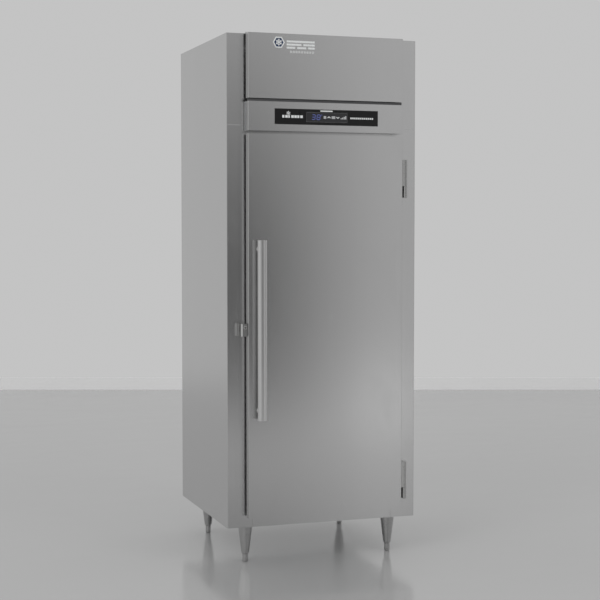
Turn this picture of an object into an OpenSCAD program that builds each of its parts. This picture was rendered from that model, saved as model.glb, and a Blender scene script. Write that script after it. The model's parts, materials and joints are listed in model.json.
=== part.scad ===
// Single-section reach-in refrigerator on four legs, with the machine section on top.
// Frame: origin on the floor under the middle of the machine, X right, Y to the back, Z up.
// The stile plane is the front face of the cabinet; door, fascia and hood stand proud of it.

/* [Cabinet] */
// Width of the cabinet
cabinet_w = 810; // [780:5:840]
// Depth of the cabinet, from the stile plane to the back
cabinet_d = 740; // [700:5:800]
// Height of the cabinet, without its legs
cabinet_h = 1975; // [1900:5:2050]
// Thickness of the foamed walls
wall_t = 75; // [70:1:80]
// Thickness of the stainless outer sheet
sheet_t = 1.2; // [1:0.1:1.5]
// Thickness of the liner sheet
liner_t = 1; // [0.8:0.1:1.2]
// Height of the floor of the machine section above the floor of the cabinet
deck_h = 1620; // [1600:5:1640]

/* [Legs] */
// Height of a leg with its foot
leg_h = 155; // [150:1:170]
// Length of the foot that shows under the leg
foot_h = 37; // [30:1:45]
// Diameter of the top of a leg
leg_top_dia = 60; // [54:1:64]
// Diameter of the bottom of a leg
leg_end_dia = 31; // [28:1:34]
// Distance between the left and the right legs
leg_spacing = 624; // [600:2:650]
// Distance from the stile plane to the front legs
leg_front_inset = 66; // [50:1:80]
// Distance from the back to the back legs
leg_back_inset = 95; // [80:1:120]

/* [Door, fascia and hood] */
// Width of the stile that shows beside the door
stile_w = 75; // [73:1:80]
// How far the front panels stand proud of the stile plane
panel_proud = 47; // [45:1:55]
// Depth of the returned sides of the front panels
panel_d = 30; // [28:1:32]
// Height of the cabinet front below the door
sill_h = 45; // [42:1:46]
// Gap between the door and the fascia
door_gap = 12; // [8:1:16]
// Height of the control fascia
fascia_h = 116; // [110:1:125]
// Gap between the fascia and the hood
hood_gap = 12; // [6:1:14]
// Height of the hood
hood_h = 257; // [240:1:270]

/* [Handle] */
// Length of the handle bar
handle_l = 716; // [650:1:760]
// Width of the handle bar
handle_w = 39; // [28:1:42]
// Thickness of the handle bar
handle_t = 24; // [20:1:26]
// Finger gap behind the handle bar
handle_gap = 22; // [20:1:28]
// Distance from the edge of the door to the handle bar
handle_inset = 28; // [22:1:36]
// Height of the middle of the handle above the floor
handle_z = 954; // [900:1:1000]

/* [Hinges and lock] */
// Diameter of a door hinge barrel
barrel_dia = 18; // [16:0.5:20]
// Diameter of a door hinge pin
hinge_pin_dia = 8; // [6:0.5:9]
// Length of the knuckle that is fixed to the cabinet
frame_knuckle_l = 46; // [40:1:50]
// Length of the knuckle that is fixed to the door
door_knuckle_l = 106.7; // [90:0.1:115]
// Height of the lower hinge above the floor
lower_hinge_z = 240; // [230:1:260]
// Height of the upper hinge above the floor
upper_hinge_z = 1485; // [1460:1:1500]
// Height of the lock block
lock_h = 51; // [46:1:56]
// Travel of the lock bolt
bolt_travel = 8; // [7:0.5:9]

/* [Controls] */
// Width of the black control label
label_w = 440; // [420:1:460]
// Height of the black control label
label_h = 62; // [58:1:66]
// Travel of a key
key_travel = 0.8; // [0.6:0.1:1]

/* [Shelves] */
// Diameter of a shelf's edge wire
shelf_edge_dia = 7; // [6:0.5:8]
// Diameter of a shelf's cross wires
shelf_wire_dia = 4; // [3.5:0.5:5]
// Distance between the cross wires of a shelf
shelf_pitch = 26; // [24:1:32]
// Height of the lowest shelf above the floor
shelf_z = 560; // [540:5:600]
// Distance from one shelf to the next
shelf_step = 330; // [320:5:335]

/* [Hidden] */

$fn = 48;
gap = 0.3;

// Cabinet planes
half_w = cabinet_w / 2;
handle_proud = panel_proud + handle_gap + handle_t;
back_y = (cabinet_d + handle_proud) / 2;
stile_y = back_y - cabinet_d;
base_z = leg_h;
top_z = base_z + cabinet_h;
deck_z = base_z + deck_h;
inner_half_w = half_w - sheet_t;
inner_back_y = back_y - sheet_t;
inner_front_y = stile_y + sheet_t;
sheet_bend_r = 2;
back_flange_w = 22;
back_lap_z = deck_z + 20;
header_top_z = deck_z + 25;
deck_inset = 1;

// Storage compartment
room_half_w = half_w - wall_t;
room_back_y = back_y - wall_t;
jamb_d = 34;
room_front_y = stile_y + jamb_d;
mouth_inset = 34;
mouth_half_w = room_half_w - mouth_inset;
floor_wall_t = 66;
ceiling_wall_t = 72;
room_z0 = base_z + floor_wall_t;
room_z1 = deck_z - ceiling_wall_t;

// Breaker frame round the mouth of the compartment
breaker_t = 2;
breaker_face_t = 1.5;
breaker_lap = 18;
breaker_y = stile_y - breaker_face_t;
stile_lip = 4;
foam_lip = stile_lip + 0.5;

// Front panels
panel_half_w = half_w - stile_w;
panel_y = stile_y - panel_proud;
panel_back_y = panel_y + panel_d;
door_z0 = base_z + sill_h;
hood_z0 = top_z - hood_h;
fascia_z1 = hood_z0 - hood_gap;
fascia_z0 = fascia_z1 - fascia_h;
door_z1 = fascia_z0 - door_gap;
skin_t = 1;
panel_bend_r = 2;

// Door back: liner plate, raised dike and gasket
plate_t = 1.5;
plate_y = panel_back_y + plate_t;
dike_clearance = 10;
dike_half_w = mouth_half_w - dike_clearance;
dike_z0 = room_z0 + dike_clearance;
dike_z1 = room_z1 - dike_clearance;
dike_back_y = stile_y + 12;
dike_rim = 30;
dike_recess = 14;
gasket_y = breaker_y - gap;

// Hinge axis
hinge_x = panel_half_w + 15;
hinge_y = panel_y + barrel_dia / 2;
hinge_zs = [lower_hinge_z, upper_hinge_z];
pin_clearance = 0.05;

// Handle
handle_x = -panel_half_w + handle_inset + handle_w / 2;
handle_back_y = panel_y - handle_gap;
standoff_inset = 36;
standoff_dia = 16;

// Lock
lock_z = 955;
lock_x1 = -panel_half_w - 2;
lock_w = 20;
lock_flange_w = 16;
lock_flange_t = 20;
lock_d = 44;
lock_y = stile_y - lock_d;
lock_x = lock_x1 - lock_w / 2;
cylinder_dia = 9;
bolt_t = 3;
bolt_h = 12;
bolt_y = panel_back_y - 4.6;
bolt_slot = 0.4;

// Controls
label_t = 1.2;
label_z = fascia_z0 + 58;
lens_w = 177;
lens_h = 40;
lens_t = 1.6;
key_w = 16;
key_h = 13;
key_xs = [8, 46];
key_proud = key_travel + 0.1;
key_d = 8;
key_gap = 0.4;
label_y = panel_y - label_t;
lens_y = label_y - 0.4;

// Hood hinge
hood_hinge_y = stile_y - 12;
hood_hinge_z = top_z;
hood_barrel_dia = 8;
hood_pin_dia = 3;
hood_knuckle_l = 28;
hood_bracket_x = -panel_half_w + hood_knuckle_l;

// Machine section
tray_z = deck_z + 1;
tray_t = 2;
tray_lip = 14;
tray_x = 372;
tray_y0 = stile_y + 28;
tray_y1 = back_y - 30;
unit_z = tray_z + tray_t;
coil_x0 = -300;
coil_x1 = 90;
coil_z0 = unit_z + 6;
coil_z1 = coil_z0 + 285;
coil_y0 = stile_y + 55;
coil_d = 66;
coil_y1 = coil_y0 + coil_d;
cfan_x = (coil_x0 + coil_x1) / 2;
cfan_z = (coil_z0 + coil_z1) / 2;
cfan_r = 118;
shroud_d = 34;
shroud_y = coil_y1 + shroud_d;
cfan_y = shroud_y - 12;
motor_y = shroud_y + 22;
comp_x = 255;
comp_y = stile_y + 330;
comp_r = 82;
comp_h = 215;
discharge_y = comp_y + 40;
discharge_dia = 9.5;
discharge_depth = 20;
suction_z = unit_z + 150;
suction_dia = 13;
suction_depth = 4;
gland_x = -240;
gland_z = unit_z + 60;

// Fans
blade_root = 8;
blade_angle = 32;

// Evaporator
evap_half_w = 285;
evap_y0 = room_front_y + 125;
evap_y1 = room_back_y - 8;
evap_z0 = room_z1 - 158;
evap_t = 1.2;
efan_r = 60;
efan_z = evap_z0 + 76;
efan_y = evap_y0 + 16;
ecoil_y0 = evap_y0 + 210;
ecoil_y1 = ecoil_y0 + 90;

// Shelves
shelf_half_w = room_half_w - 12;
shelf_y0 = room_front_y + 50;
shelf_y1 = room_back_y - 28;
pilaster_t = 6;
pilaster_w = 22;
pilaster_ys = [room_front_y + 75, room_back_y - 62];
pilaster_z0 = room_z0 + 45;
pilaster_z1 = evap_z0 - 25;
slot_pitch = 50;

// Legs
leg_xs = [-leg_spacing / 2, leg_spacing / 2];
leg_front_y = stile_y + leg_front_inset;
leg_back_y = back_y - leg_back_inset;
foot_dia = 23;
foot_stem_dia = 12;
foot_stem_l = 60;

steel = [0.62, 0.63, 0.64];
liner_steel = [0.72, 0.73, 0.74];
dark = [0.12, 0.12, 0.13];
plastic_grey = [0.55, 0.56, 0.58];
copper = [0.72, 0.42, 0.26];
foam = [0.86, 0.80, 0.55];

// ---- helpers ----

// Box between two opposite corners
module block(lo, hi) {
    translate(lo) cube(hi - lo);
}

// Shaft along X, Y or Z, starting at p
module rod_x(p, l, d) {
    translate(p) rotate([0, 90, 0]) cylinder(h = l, d = d);
}
module rod_y(p, l, d) {
    translate(p) rotate([-90, 0, 0]) cylinder(h = l, d = d);
}
module rod_z(p, l, d) {
    translate(p) cylinder(h = l, d = d);
}

// Rectangular ring in the XZ plane, between y0 and y1
module ring_y(half_out, z0, z1, rim, y0, y1) {
    difference() {
        block([-half_out, y0, z0], [half_out, y1, z1]);
        block([-half_out + rim, y0 - 1, z0 + rim], [half_out - rim, y1 + 1, z1 - rim]);
    }
}

// Block whose two upright front edges are rounded
module rounded_front(half, y0, y1, z0, z1, r) {
    block([-half + r, y0, z0], [half - r, y0 + 2 * r, z1]);
    block([-half, y0 + r, z0], [half, y1, z1]);
    for (side = [-1, 1]) rod_z([side * (half - r), y0 + r, z0], z1 - z0, 2 * r);
}

// Front tray: a sheet with its four sides returned backwards
module front_tray(z0, z1, depth, t) {
    difference() {
        rounded_front(panel_half_w, panel_y, panel_y + depth, z0, z1, panel_bend_r);
        rounded_front(panel_half_w - t, panel_y + t, panel_y + depth + 1, z0 + t, z1 - t,
                      panel_bend_r - t);
    }
}

// Round-cornered route through right-angle corners
function unit(v) = v / norm(v);
function corner_arc(a, b, c, r, n) =
    let (u = unit(a - b), w = unit(c - b), m = b + (u + w) * r)
    [for (i = [0 : n]) m - r * (w * cos(90 * i / n) + u * sin(90 * i / n))];
function route(points, r, n) = [
    points[0],
    for (i = [1 : len(points) - 2])
        each corner_arc(points[i - 1], points[i], points[i + 1], r, n),
    points[len(points) - 1]
];
function tangent(path, i) =
    i == 0 ? unit(path[1] - path[0])
    : i == len(path) - 1 ? unit(path[i] - path[i - 1])
    : unit(unit(path[i] - path[i - 1]) + unit(path[i + 1] - path[i]));
function carried_normals(path, i, n) =
    i == len(path) ? []
    : let (t = tangent(path, i), m = unit(n - (n * t) * t))
      concat([m], carried_normals(path, i + 1, m));

// Round tube swept along a route, with its ends closed
module swept_tube(points, dia, bend_r, first_normal, sides = 10) {
    path = route(points, bend_r, 5);
    normals = carried_normals(path, 0, first_normal);
    rings = len(path);
    verts = [
        for (i = [0 : rings - 1])
            let (t = tangent(path, i), n = normals[i], b = cross(t, n))
            for (k = [0 : sides - 1])
                path[i] + dia / 2 * (n * cos(360 * k / sides) + b * sin(360 * k / sides))
    ];
    walls = [
        for (i = [0 : rings - 2]) for (k = [0 : sides - 1])
            let (a = i * sides + k, b = i * sides + (k + 1) % sides)
            [a, a + sides, b + sides, b]
    ];
    first_cap = [for (k = [0 : sides - 1]) k];
    last_cap = [for (k = [sides - 1 : -1 : 0]) (rings - 1) * sides + k];
    polyhedron(verts, concat(walls, [first_cap, last_cap]));
}

// ---- cabinet ----

// Quarter-round bend of the side sheet at its front (side = -1) or back (side = 1) edge
module sheet_bend(y, side) {
    r = sheet_bend_r;
    x = -half_w + r;
    y0 = side < 0 ? y - r : y;
    intersection() {
        difference() {
            rod_z([x, y, base_z], cabinet_h, 2 * r);
            rod_z([x, y, base_z - 1], cabinet_h + 2, 2 * (r - sheet_t));
        }
        block([x - r, y0, base_z], [x, y0 + r, top_z]);
    }
}

// Side sheet bent round into the front stile and the back flange, drawn for the left
module side_sheet() {
    r = sheet_bend_r;
    block([-half_w, stile_y + r, base_z], [-inner_half_w, back_y - r, top_z]);
    block([-half_w + r, stile_y, base_z], [-mouth_half_w - stile_lip, inner_front_y, top_z]);
    block([-half_w + r, inner_back_y, base_z], [-half_w + back_flange_w, back_y, top_z]);
    sheet_bend(stile_y + r, -1);
    sheet_bend(back_y - r, 1);
}

module left_side_panel() {
    color(steel) side_sheet();
}

module right_side_panel() {
    color(steel) mirror([1, 0, 0]) side_sheet();
}

module back_panel() {
    x = half_w - back_flange_w - gap;
    color(steel) block([-x, inner_back_y, base_z], [x, back_y, back_lap_z]);
}

// Bottom sheet with the front sill turned up under the door
module base_pan() {
    x = inner_half_w - deck_inset;
    sill_x = mouth_half_w + stile_lip - gap;
    color(steel) {
        block([-x, inner_front_y, base_z], [x, inner_back_y, base_z + sheet_t]);
        block([-sill_x, stile_y, base_z], [sill_x, inner_front_y + 0.2, room_z0 - stile_lip]);
    }
}

module top_deck() {
    x = inner_half_w - deck_inset;
    color(steel) block([-x, inner_front_y, deck_z - sheet_t], [x, inner_back_y - gap, deck_z]);
}

// Front sheet above the door opening, behind the fascia
module front_header() {
    x = mouth_half_w + stile_lip - gap;
    color(steel) {
        block([-x, stile_y, room_z1 + stile_lip], [x, inner_front_y, header_top_z]);
        block([-x, stile_y, header_top_z - sheet_t], [x, stile_y + 18, header_top_z]);
    }
}

// Channel across the top of the front opening, which carries the hood
module top_cross_rail() {
    x = inner_half_w - gap;
    y = inner_front_y + gap;
    z = top_z - sheet_t;
    color(steel) {
        block([-x, y, top_z - 36], [x, y + sheet_t, z]);
        block([-x, y, z], [x, y + 30, top_z]);
        block([-x, y + 30 - sheet_t, top_z - 14], [x, y + 30, top_z]);
    }
}

// Foamed-in insulation round the compartment
module cabinet_insulation() {
    x = inner_half_w - gap;
    y1 = inner_back_y - gap;
    z0 = base_z + sheet_t + gap;
    z1 = deck_z - sheet_t - gap;
    color(foam) difference() {
        block([-x, inner_front_y + gap, z0], [x, y1, z1]);
        block([-mouth_half_w - foam_lip, stile_y, room_z0 - foam_lip],
              [mouth_half_w + foam_lip, room_front_y + 3, room_z1 + foam_lip]);
        block([-room_half_w - liner_t - gap, room_front_y - 2.5, room_z0 - liner_t - gap],
              [room_half_w + liner_t + gap, room_back_y + liner_t + gap, room_z1 + liner_t + gap]);
    }
}

module liner_side() {
    block([-room_half_w - liner_t, room_front_y, room_z0], [-room_half_w, room_back_y, room_z1]);
}

module liner_left() {
    color(liner_steel) liner_side();
}

module liner_right() {
    color(liner_steel) mirror([1, 0, 0]) liner_side();
}

module liner_back() {
    x = room_half_w + liner_t;
    color(liner_steel)
        block([-x, room_back_y, room_z0], [x, room_back_y + liner_t, room_z1]);
}

// Liner sheet under or over the compartment, from z upwards
module liner_flat(z) {
    x = room_half_w + liner_t;
    block([-x, room_front_y, z], [x, room_back_y + liner_t, z + liner_t]);
}

module liner_floor() {
    color(liner_steel) liner_flat(room_z0 - liner_t);
}

module liner_ceiling() {
    color(liner_steel) liner_flat(room_z1);
}

// Upright strip: a face that laps over the stile, a jamb and a return to the liner
module breaker_upright() {
    x = mouth_half_w;
    y1 = room_front_y - 0.2;
    block([x, breaker_y, room_z0 - breaker_lap], [x + breaker_lap, stile_y, room_z1 + breaker_lap]);
    block([x, breaker_y, room_z0], [x + breaker_t, y1, room_z1]);
    block([x, y1 - breaker_t, room_z0], [room_half_w, y1, room_z1]);
}

// Level strip at height z: up is 1 under the mouth and -1 over it
module breaker_level(z, up) {
    x = mouth_half_w - gap;
    mirrored = up == 1 ? 0 : 1;
    translate([0, 0, z]) mirror([0, 0, mirrored]) {
        block([-x, breaker_y, -breaker_lap], [x, stile_y, breaker_t]);
        block([-x, breaker_y, -gap], [x, room_front_y - 0.2, breaker_t]);
    }
}

// Plastic strips that line the mouth of the compartment and break the heat path
module breaker_frame() {
    color(plastic_grey) {
        for (side = [0, 1]) mirror([side, 0, 0]) breaker_upright();
        breaker_level(room_z0, 1);
        breaker_level(room_z1, -1);
    }
}

// ---- shelving ----

module shelf_pilasters() {
    slots = floor((pilaster_z1 - pilaster_z0 - 40) / slot_pitch);
    color(liner_steel)
        for (side = [0, 1]) mirror([side, 0, 0]) for (y = pilaster_ys)
            difference() {
                block([-room_half_w, y - pilaster_w / 2, pilaster_z0],
                      [-room_half_w + pilaster_t, y + pilaster_w / 2, pilaster_z1]);
                for (i = [0 : slots])
                    translate([-room_half_w + 2, y - 6, pilaster_z0 + 20 + i * slot_pitch])
                        cube([pilaster_t, 12, 7]);
            }
}

// Clip that hooks into a pilaster and carries the edge wire of a shelf
module shelf_clip(y, z) {
    x = -room_half_w + pilaster_t;
    top = z - shelf_edge_dia / 2;
    block([x, y - 8, top - 14], [x + 3, y + 8, top + 8]);
    block([x, y - 8, top - 3], [x + 14, y + 8, top]);
    block([x + 1, y - 1, top - 14], [x + 12, y + 1, top - 2]);
}

module shelf_clips() {
    color("silver")
        for (i = [0 : 2]) for (side = [0, 1]) mirror([side, 0, 0])
            for (y = pilaster_ys) shelf_clip(y, shelf_z + i * shelf_step);
}

// Welded wire shelf at height z
module wire_shelf(z) {
    x = shelf_half_w - shelf_edge_dia / 2;
    y0 = shelf_y0 + shelf_edge_dia / 2;
    y1 = shelf_y1 - shelf_edge_dia / 2;
    wire_z = z + (shelf_edge_dia + shelf_wire_dia) / 2 - 1;
    half_count = floor((x - 8) / shelf_pitch);
    for (y = [y0, y1]) rod_x([-x - 2, y, z], 2 * x + 4, shelf_edge_dia);
    for (side = [-1, 1]) rod_y([side * x, y0 - 2, z], y1 - y0 + 4, shelf_edge_dia - 0.6);
    for (t = [0.33, 0.67]) rod_x([-x, y0 + (y1 - y0) * t, z], 2 * x, shelf_edge_dia - 1);
    for (i = [-half_count : half_count])
        rod_y([i * shelf_pitch, y0 - 1, wire_z], y1 - y0 + 2, shelf_wire_dia);
}

module lower_shelf() {
    color("white") wire_shelf(shelf_z);
}

module middle_shelf() {
    color("white") wire_shelf(shelf_z + shelf_step);
}

module upper_shelf() {
    color("white") wire_shelf(shelf_z + 2 * shelf_step);
}

// ---- controls ----

// Hole through the fascia front for the controller and its keys
module controller_window(grow) {
    block([key_xs[0] - key_w / 2 - grow, panel_y - 10, label_z - key_h / 2 - grow],
          [key_xs[1] + key_w / 2 + grow, panel_y + 10, label_z + key_h / 2 + grow]);
}

// Fixed tray whose sides reach back to the stile plane
module control_fascia() {
    color(steel) difference() {
        front_tray(fascia_z0, fascia_z1, panel_proud - gap, skin_t);
        controller_window(2);
    }
}

// Black overlay stuck to the fascia, with the window of the lens cut out
module control_label() {
    color(dark) difference() {
        block([-label_w / 2, label_y, label_z - label_h / 2],
              [label_w / 2, panel_y, label_z + label_h / 2]);
        block([-lens_w / 2, label_y - 1, label_z - lens_h / 2],
              [lens_w / 2, panel_y + 1, label_z + lens_h / 2]);
    }
}

module display_lens() {
    color([0.2, 0.2, 0.22]) difference() {
        block([-lens_w / 2 + gap, lens_y, label_z - lens_h / 2 + gap],
              [lens_w / 2 - gap, lens_y + lens_t, label_z + lens_h / 2 - gap]);
        for (x = key_xs)
            block([x - key_w / 2 - key_gap, lens_y - 1, label_z - key_h / 2 - key_gap],
                  [x + key_w / 2 + key_gap, panel_y + 1, label_z + key_h / 2 + key_gap]);
    }
}

// One push key of the controller
module key_cap(i) {
    x = key_xs[i];
    color(plastic_grey)
        block([x - key_w / 2, lens_y - key_proud, label_z - key_h / 2],
              [x + key_w / 2, lens_y - key_proud + key_d, label_z + key_h / 2]);
}

module up_key() {
    key_cap(0);
}

module down_key() {
    key_cap(1);
}

module interior_lamp() {
    y = room_front_y + 48;
    z = room_z1 - 11;
    color("white") {
        block([-190, y - 16, z + 3], [190, y + 16, room_z1 - 0.1]);
        difference() {
            rod_x([-184, y, z + 4], 368, 24);
            block([-200, y - 20, z + 3.5], [200, y + 20, z + 30]);
        }
    }
}

// ---- evaporator ----

// Casing hung from the ceiling: open at the back, with a round fan opening in its front
module evaporator_housing() {
    x = evap_half_w;
    top = room_z1 - 0.2;
    color(liner_steel) difference() {
        block([-x, evap_y0, evap_z0], [x, evap_y1, top]);
        block([-x + evap_t, evap_y0 + evap_t, evap_z0 + evap_t], [x - evap_t, evap_y1 + 1, top + 1]);
        rod_y([0, evap_y0 - 1, efan_z], 4, 2 * efan_r + 6);
    }
}

module evaporator_coil() {
    core_x = evap_half_w - 40;
    tube_z = [for (i = [0 : 3]) evap_z0 + 30 + i * 30];
    color("silver") {
        block([-core_x, ecoil_y0, evap_z0 + 10], [core_x, ecoil_y1, room_z1 - 12]);
        for (z = tube_z) for (side = [-1, 1])
            for (y = [ecoil_y0 + 22, ecoil_y0 + 66])
                rod_x([side == 1 ? core_x - 1 : -core_x - 19, y, z], 20, 9.5);
    }
}

module evaporator_fan_motor() {
    color(dark) {
        rod_y([0, efan_y + 14, efan_z], 56, 56);
        rod_y([0, efan_y - 5, efan_z], 26, 6);
        block([-18, efan_y + 30, evap_z0 + evap_t], [18, efan_y + 54, efan_z]);
    }
}

// Axial fan with its hub on a shaft along Y: blades are flat vanes set at an angle
module fan_wheel(r, hub_r, depth, blades, shaft_d) {
    difference() {
        union() {
            rotate([90, 0, 0]) cylinder(h = depth, r = hub_r, center = true);
            for (i = [0 : blades - 1])
                rotate([0, i * 360 / blades, 0])
                    translate([(r + hub_r - blade_root) / 2, 0, 0])
                        rotate([blade_angle, 0, 0])
                            cube([r - hub_r + blade_root, 1.6, depth * 1.55], center = true);
        }
        rotate([90, 0, 0])
            cylinder(h = depth * 3, d = shaft_d + 2 * pin_clearance, center = true);
    }
}

module evaporator_fan() {
    color(dark) translate([0, efan_y, efan_z]) fan_wheel(efan_r - 4, 17, 14, 5, 6);
}

// ---- condensing unit ----

module unit_tray() {
    color("dimgray") {
        block([-tray_x, tray_y0, tray_z], [tray_x, tray_y1, tray_z + tray_t]);
        for (side = [-1, 1])
            block([side * (tray_x - 1) - 1, tray_y0, tray_z],
                  [side * (tray_x - 1) + 1, tray_y1, tray_z + tray_lip]);
        for (y = [tray_y0, tray_y1 - 2])
            block([-tray_x, y, tray_z], [tray_x, y + 2, tray_z + tray_lip]);
    }
}

// Hermetic compressor: a round can with domed ends on a footed plate, and sockets for the lines
module compressor() {
    can_z = 22;
    rim_r = 18;
    dome_r = 42;
    can_h = comp_h - can_z;
    foot_x = 80;
    foot_y = 62;
    bolt_dia = 9;
    color(dark) difference() {
        translate([comp_x, comp_y, unit_z]) {
            translate([0, 0, can_z]) rotate_extrude()
                polygon(concat(
                    [[0, 0], [comp_r - rim_r, 0]],
                    [for (a = [0 : 15 : 90])
                        [comp_r - rim_r + rim_r * sin(a), rim_r - rim_r * cos(a)]],
                    [for (a = [0 : 10 : 90])
                        [comp_r - dome_r + dome_r * cos(a), can_h - dome_r + dome_r * sin(a)]],
                    [[0, can_h]]));
            rod_z([0, 0, 118], 5, 2 * comp_r + 8);
            difference() {
                block([-92, -74, 12], [92, 74, 24]);
                for (sx = [-1, 1]) for (sy = [-1, 1])
                    rod_z([sx * foot_x, sy * foot_y, 0], 40, bolt_dia);
            }
            for (sx = [-1, 1]) for (sy = [-1, 1]) difference() {
                rod_z([sx * foot_x, sy * foot_y, 0], 12, 24);
                rod_z([sx * foot_x, sy * foot_y, -1], 20, bolt_dia);
            }
            block([comp_r - 6, -24, 50], [comp_r + 26, 24, 104]);
        }
        rod_z([comp_x, discharge_y, unit_z + comp_h - discharge_depth], 40, discharge_dia);
        rod_y([comp_x, comp_y + comp_r - suction_depth, suction_z], 40, suction_dia);
    }
}

// Fin pack between end plates, with the tube bends at both ends
module condenser_coil() {
    ends = [coil_x0, coil_x1];
    rows = 7;
    row_z = [for (i = [0 : rows - 1]) coil_z0 + 22 + i * 40];
    color("silver") {
        block([coil_x0, coil_y0 + 3, coil_z0], [coil_x1, coil_y1 - 3, coil_z1]);
        for (x = ends)
            block([x - 1, coil_y0, coil_z0 - 6], [x + 1, coil_y1, coil_z1]);
        for (z = row_z) for (y = [coil_y0 + 18, coil_y1 - 18])
            rod_x([coil_x1 - 1, y, z], 16, 9.5);
        for (z = row_z) for (y = [coil_y0 + 18, coil_y1 - 18])
            rod_x([coil_x0 - 15, y, z], 16, 9.5);
    }
}

module condenser_fan_shroud() {
    color("dimgray") difference() {
        union() {
            block([coil_x0 + 1.3, coil_y1 + 0.2, coil_z0], [coil_x1 - 1.3, shroud_y, coil_z1]);
            rod_y([cfan_x, coil_y1 + 0.2, cfan_z], shroud_d + 10, 2 * cfan_r + 16);
        }
        block([coil_x0 + 3, coil_y1 - 1, coil_z0 + 2], [coil_x1 - 3, shroud_y - 1.5, coil_z1 - 2]);
        rod_y([cfan_x, coil_y1 - 1, cfan_z], shroud_d + 30, 2 * cfan_r + 12);
    }
}

// Motor on three arms that reach out to the shroud
module condenser_fan_motor() {
    arm_l = cfan_r + 14;
    color(dark) {
        rod_y([cfan_x, motor_y, cfan_z], 62, 84);
        rod_y([cfan_x, cfan_y - 10, cfan_z], motor_y - cfan_y + 12, 8);
        for (a = [30, 150, 270])
            translate([cfan_x, motor_y + 4, cfan_z]) rotate([0, a, 0])
                block([0, -3, -6], [arm_l, 1, 6]);
        for (a = [30, 150, 270])
            translate([cfan_x, shroud_y, cfan_z]) rotate([0, a, 0])
                block([arm_l - 4, 0, -6], [arm_l, motor_y - shroud_y + 5, 6]);
    }
}

module condenser_fan() {
    color(plastic_grey)
        translate([cfan_x, cfan_y, cfan_z]) fan_wheel(cfan_r, 30, 26, 5, 8);
}

// Copper lines: discharge to the condenser, liquid through the drier, suction back
module refrigerant_lines() {
    z = unit_z;
    z_top = coil_z1 - 23;
    stub_x = coil_x1 + 15;
    stub_y = coil_y1 - 18;
    drier_x = coil_x1 + 50;
    drier_y = coil_y1 + 96;
    drier_z = z + 66;
    drier_l = 108;
    line_y = comp_y + 51;
    color(copper) {
        swept_tube([
            [comp_x, discharge_y, z + comp_h - discharge_depth], [comp_x, discharge_y, z_top],
            [comp_x - 90, discharge_y, z_top], [comp_x - 90, stub_y, z_top],
            [stub_x, stub_y, z_top]
        ], discharge_dia, 16, [1, 0, 0]);
        swept_tube([
            [stub_x, stub_y, coil_z0 + 22], [drier_x, stub_y, coil_z0 + 22],
            [drier_x, drier_y - 36, coil_z0 + 22], [drier_x, drier_y - 36, drier_z],
            [drier_x, drier_y, drier_z]
        ], 6.5, 14, [0, 0, 1]);
        translate([drier_x, drier_y, drier_z]) rotate([-90, 0, 0]) rotate_extrude()
            polygon([[0, 0], [6, 0], [6, 8], [16, 20], [16, 88], [6, 100], [6, drier_l],
                     [0, drier_l]]);
        swept_tube([
            [drier_x, drier_y + drier_l, drier_z], [drier_x, line_y, drier_z],
            [drier_x, line_y, z + 36], [drier_x - 90, line_y, z + 36],
            [drier_x - 90, line_y, z]
        ], 6.5, 12, [0, 0, 1]);
        swept_tube([
            [drier_x - 120, line_y, z], [drier_x - 120, line_y, suction_z],
            [drier_x - 120, line_y + 76, suction_z], [comp_x, line_y + 76, suction_z],
            [comp_x, comp_y + comp_r - suction_depth, suction_z]
        ], suction_dia, 22, [0, 1, 0]);
    }
}

// Washable filter in front of the condenser
module air_filter() {
    y = coil_y0 - 14;
    color("dimgray") difference() {
        block([coil_x0, y, coil_z0 - 5], [coil_x1, y + 10, coil_z1]);
        for (i = [0 : 3]) for (k = [0 : 2])
            block([coil_x0 + 10 + i * 94, y - 1, coil_z0 + 6 + k * 93],
                  [coil_x0 + 10 + i * 94 + 84, y + 4, coil_z0 + 6 + k * 93 + 83]);
    }
}

// Junction box at the back, with the strain-relief gland of the supply
module electrical_box() {
    y1 = back_y - 34;
    color("gainsboro") difference() {
        union() {
            block([-330, y1 - 90, unit_z + 2], [-150, y1, unit_z + 130]);
            block([-336, y1 - 96, unit_z + 130], [-144, y1 - 0.1, unit_z + 136]);
            rod_y([gland_x, y1 - 1, gland_z], back_y - y1 + 0.9, 30);
        }
        rod_y([gland_x, y1 - 4, gland_z], 60, 14);
    }
}

// Louvred sheet that closes the back of the machine section
module rear_grille() {
    x = half_w - back_flange_w - gap;
    z0 = back_lap_z + gap;
    rows = 8;
    pitch = 26;
    color(steel) difference() {
        block([-x, inner_back_y, z0], [x, back_y, top_z]);
        for (i = [0 : rows - 1]) for (c = [-1, 0, 1])
            block([c * 240 - 105, inner_back_y - 1, z0 + 90 + i * pitch],
                  [c * 240 + 105, back_y + 1, z0 + 90 + i * pitch + 10]);
        rod_y([gland_x, inner_back_y - 5, gland_z], 30, 32);
    }
}

// ---- legs and feet ----

// Tapered leg with a bore for the threaded stem of its foot
module leg(x, y) {
    h = leg_h - foot_h - gap;
    color("silver") translate([x, y, foot_h + gap]) difference() {
        cylinder(h = h, d1 = leg_end_dia, d2 = leg_top_dia);
        translate([0, 0, -1]) cylinder(h = foot_stem_l + 6, d = foot_stem_dia + 2 * pin_clearance);
    }
}

// Levelling foot: a round foot with a bevelled toe and its stem
module foot(x, y) {
    r = foot_dia / 2;
    stem_r = foot_stem_dia / 2;
    color("silver") translate([x, y, 0]) rotate_extrude()
        polygon([
            [0, 0], [r - 3, 0], [r - 0.5, 3], [r, 6], [r, foot_h - 1.5], [r - 1.5, foot_h],
            [stem_r, foot_h], [stem_r, foot_h + foot_stem_l], [0, foot_h + foot_stem_l]
        ]);
}

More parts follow.
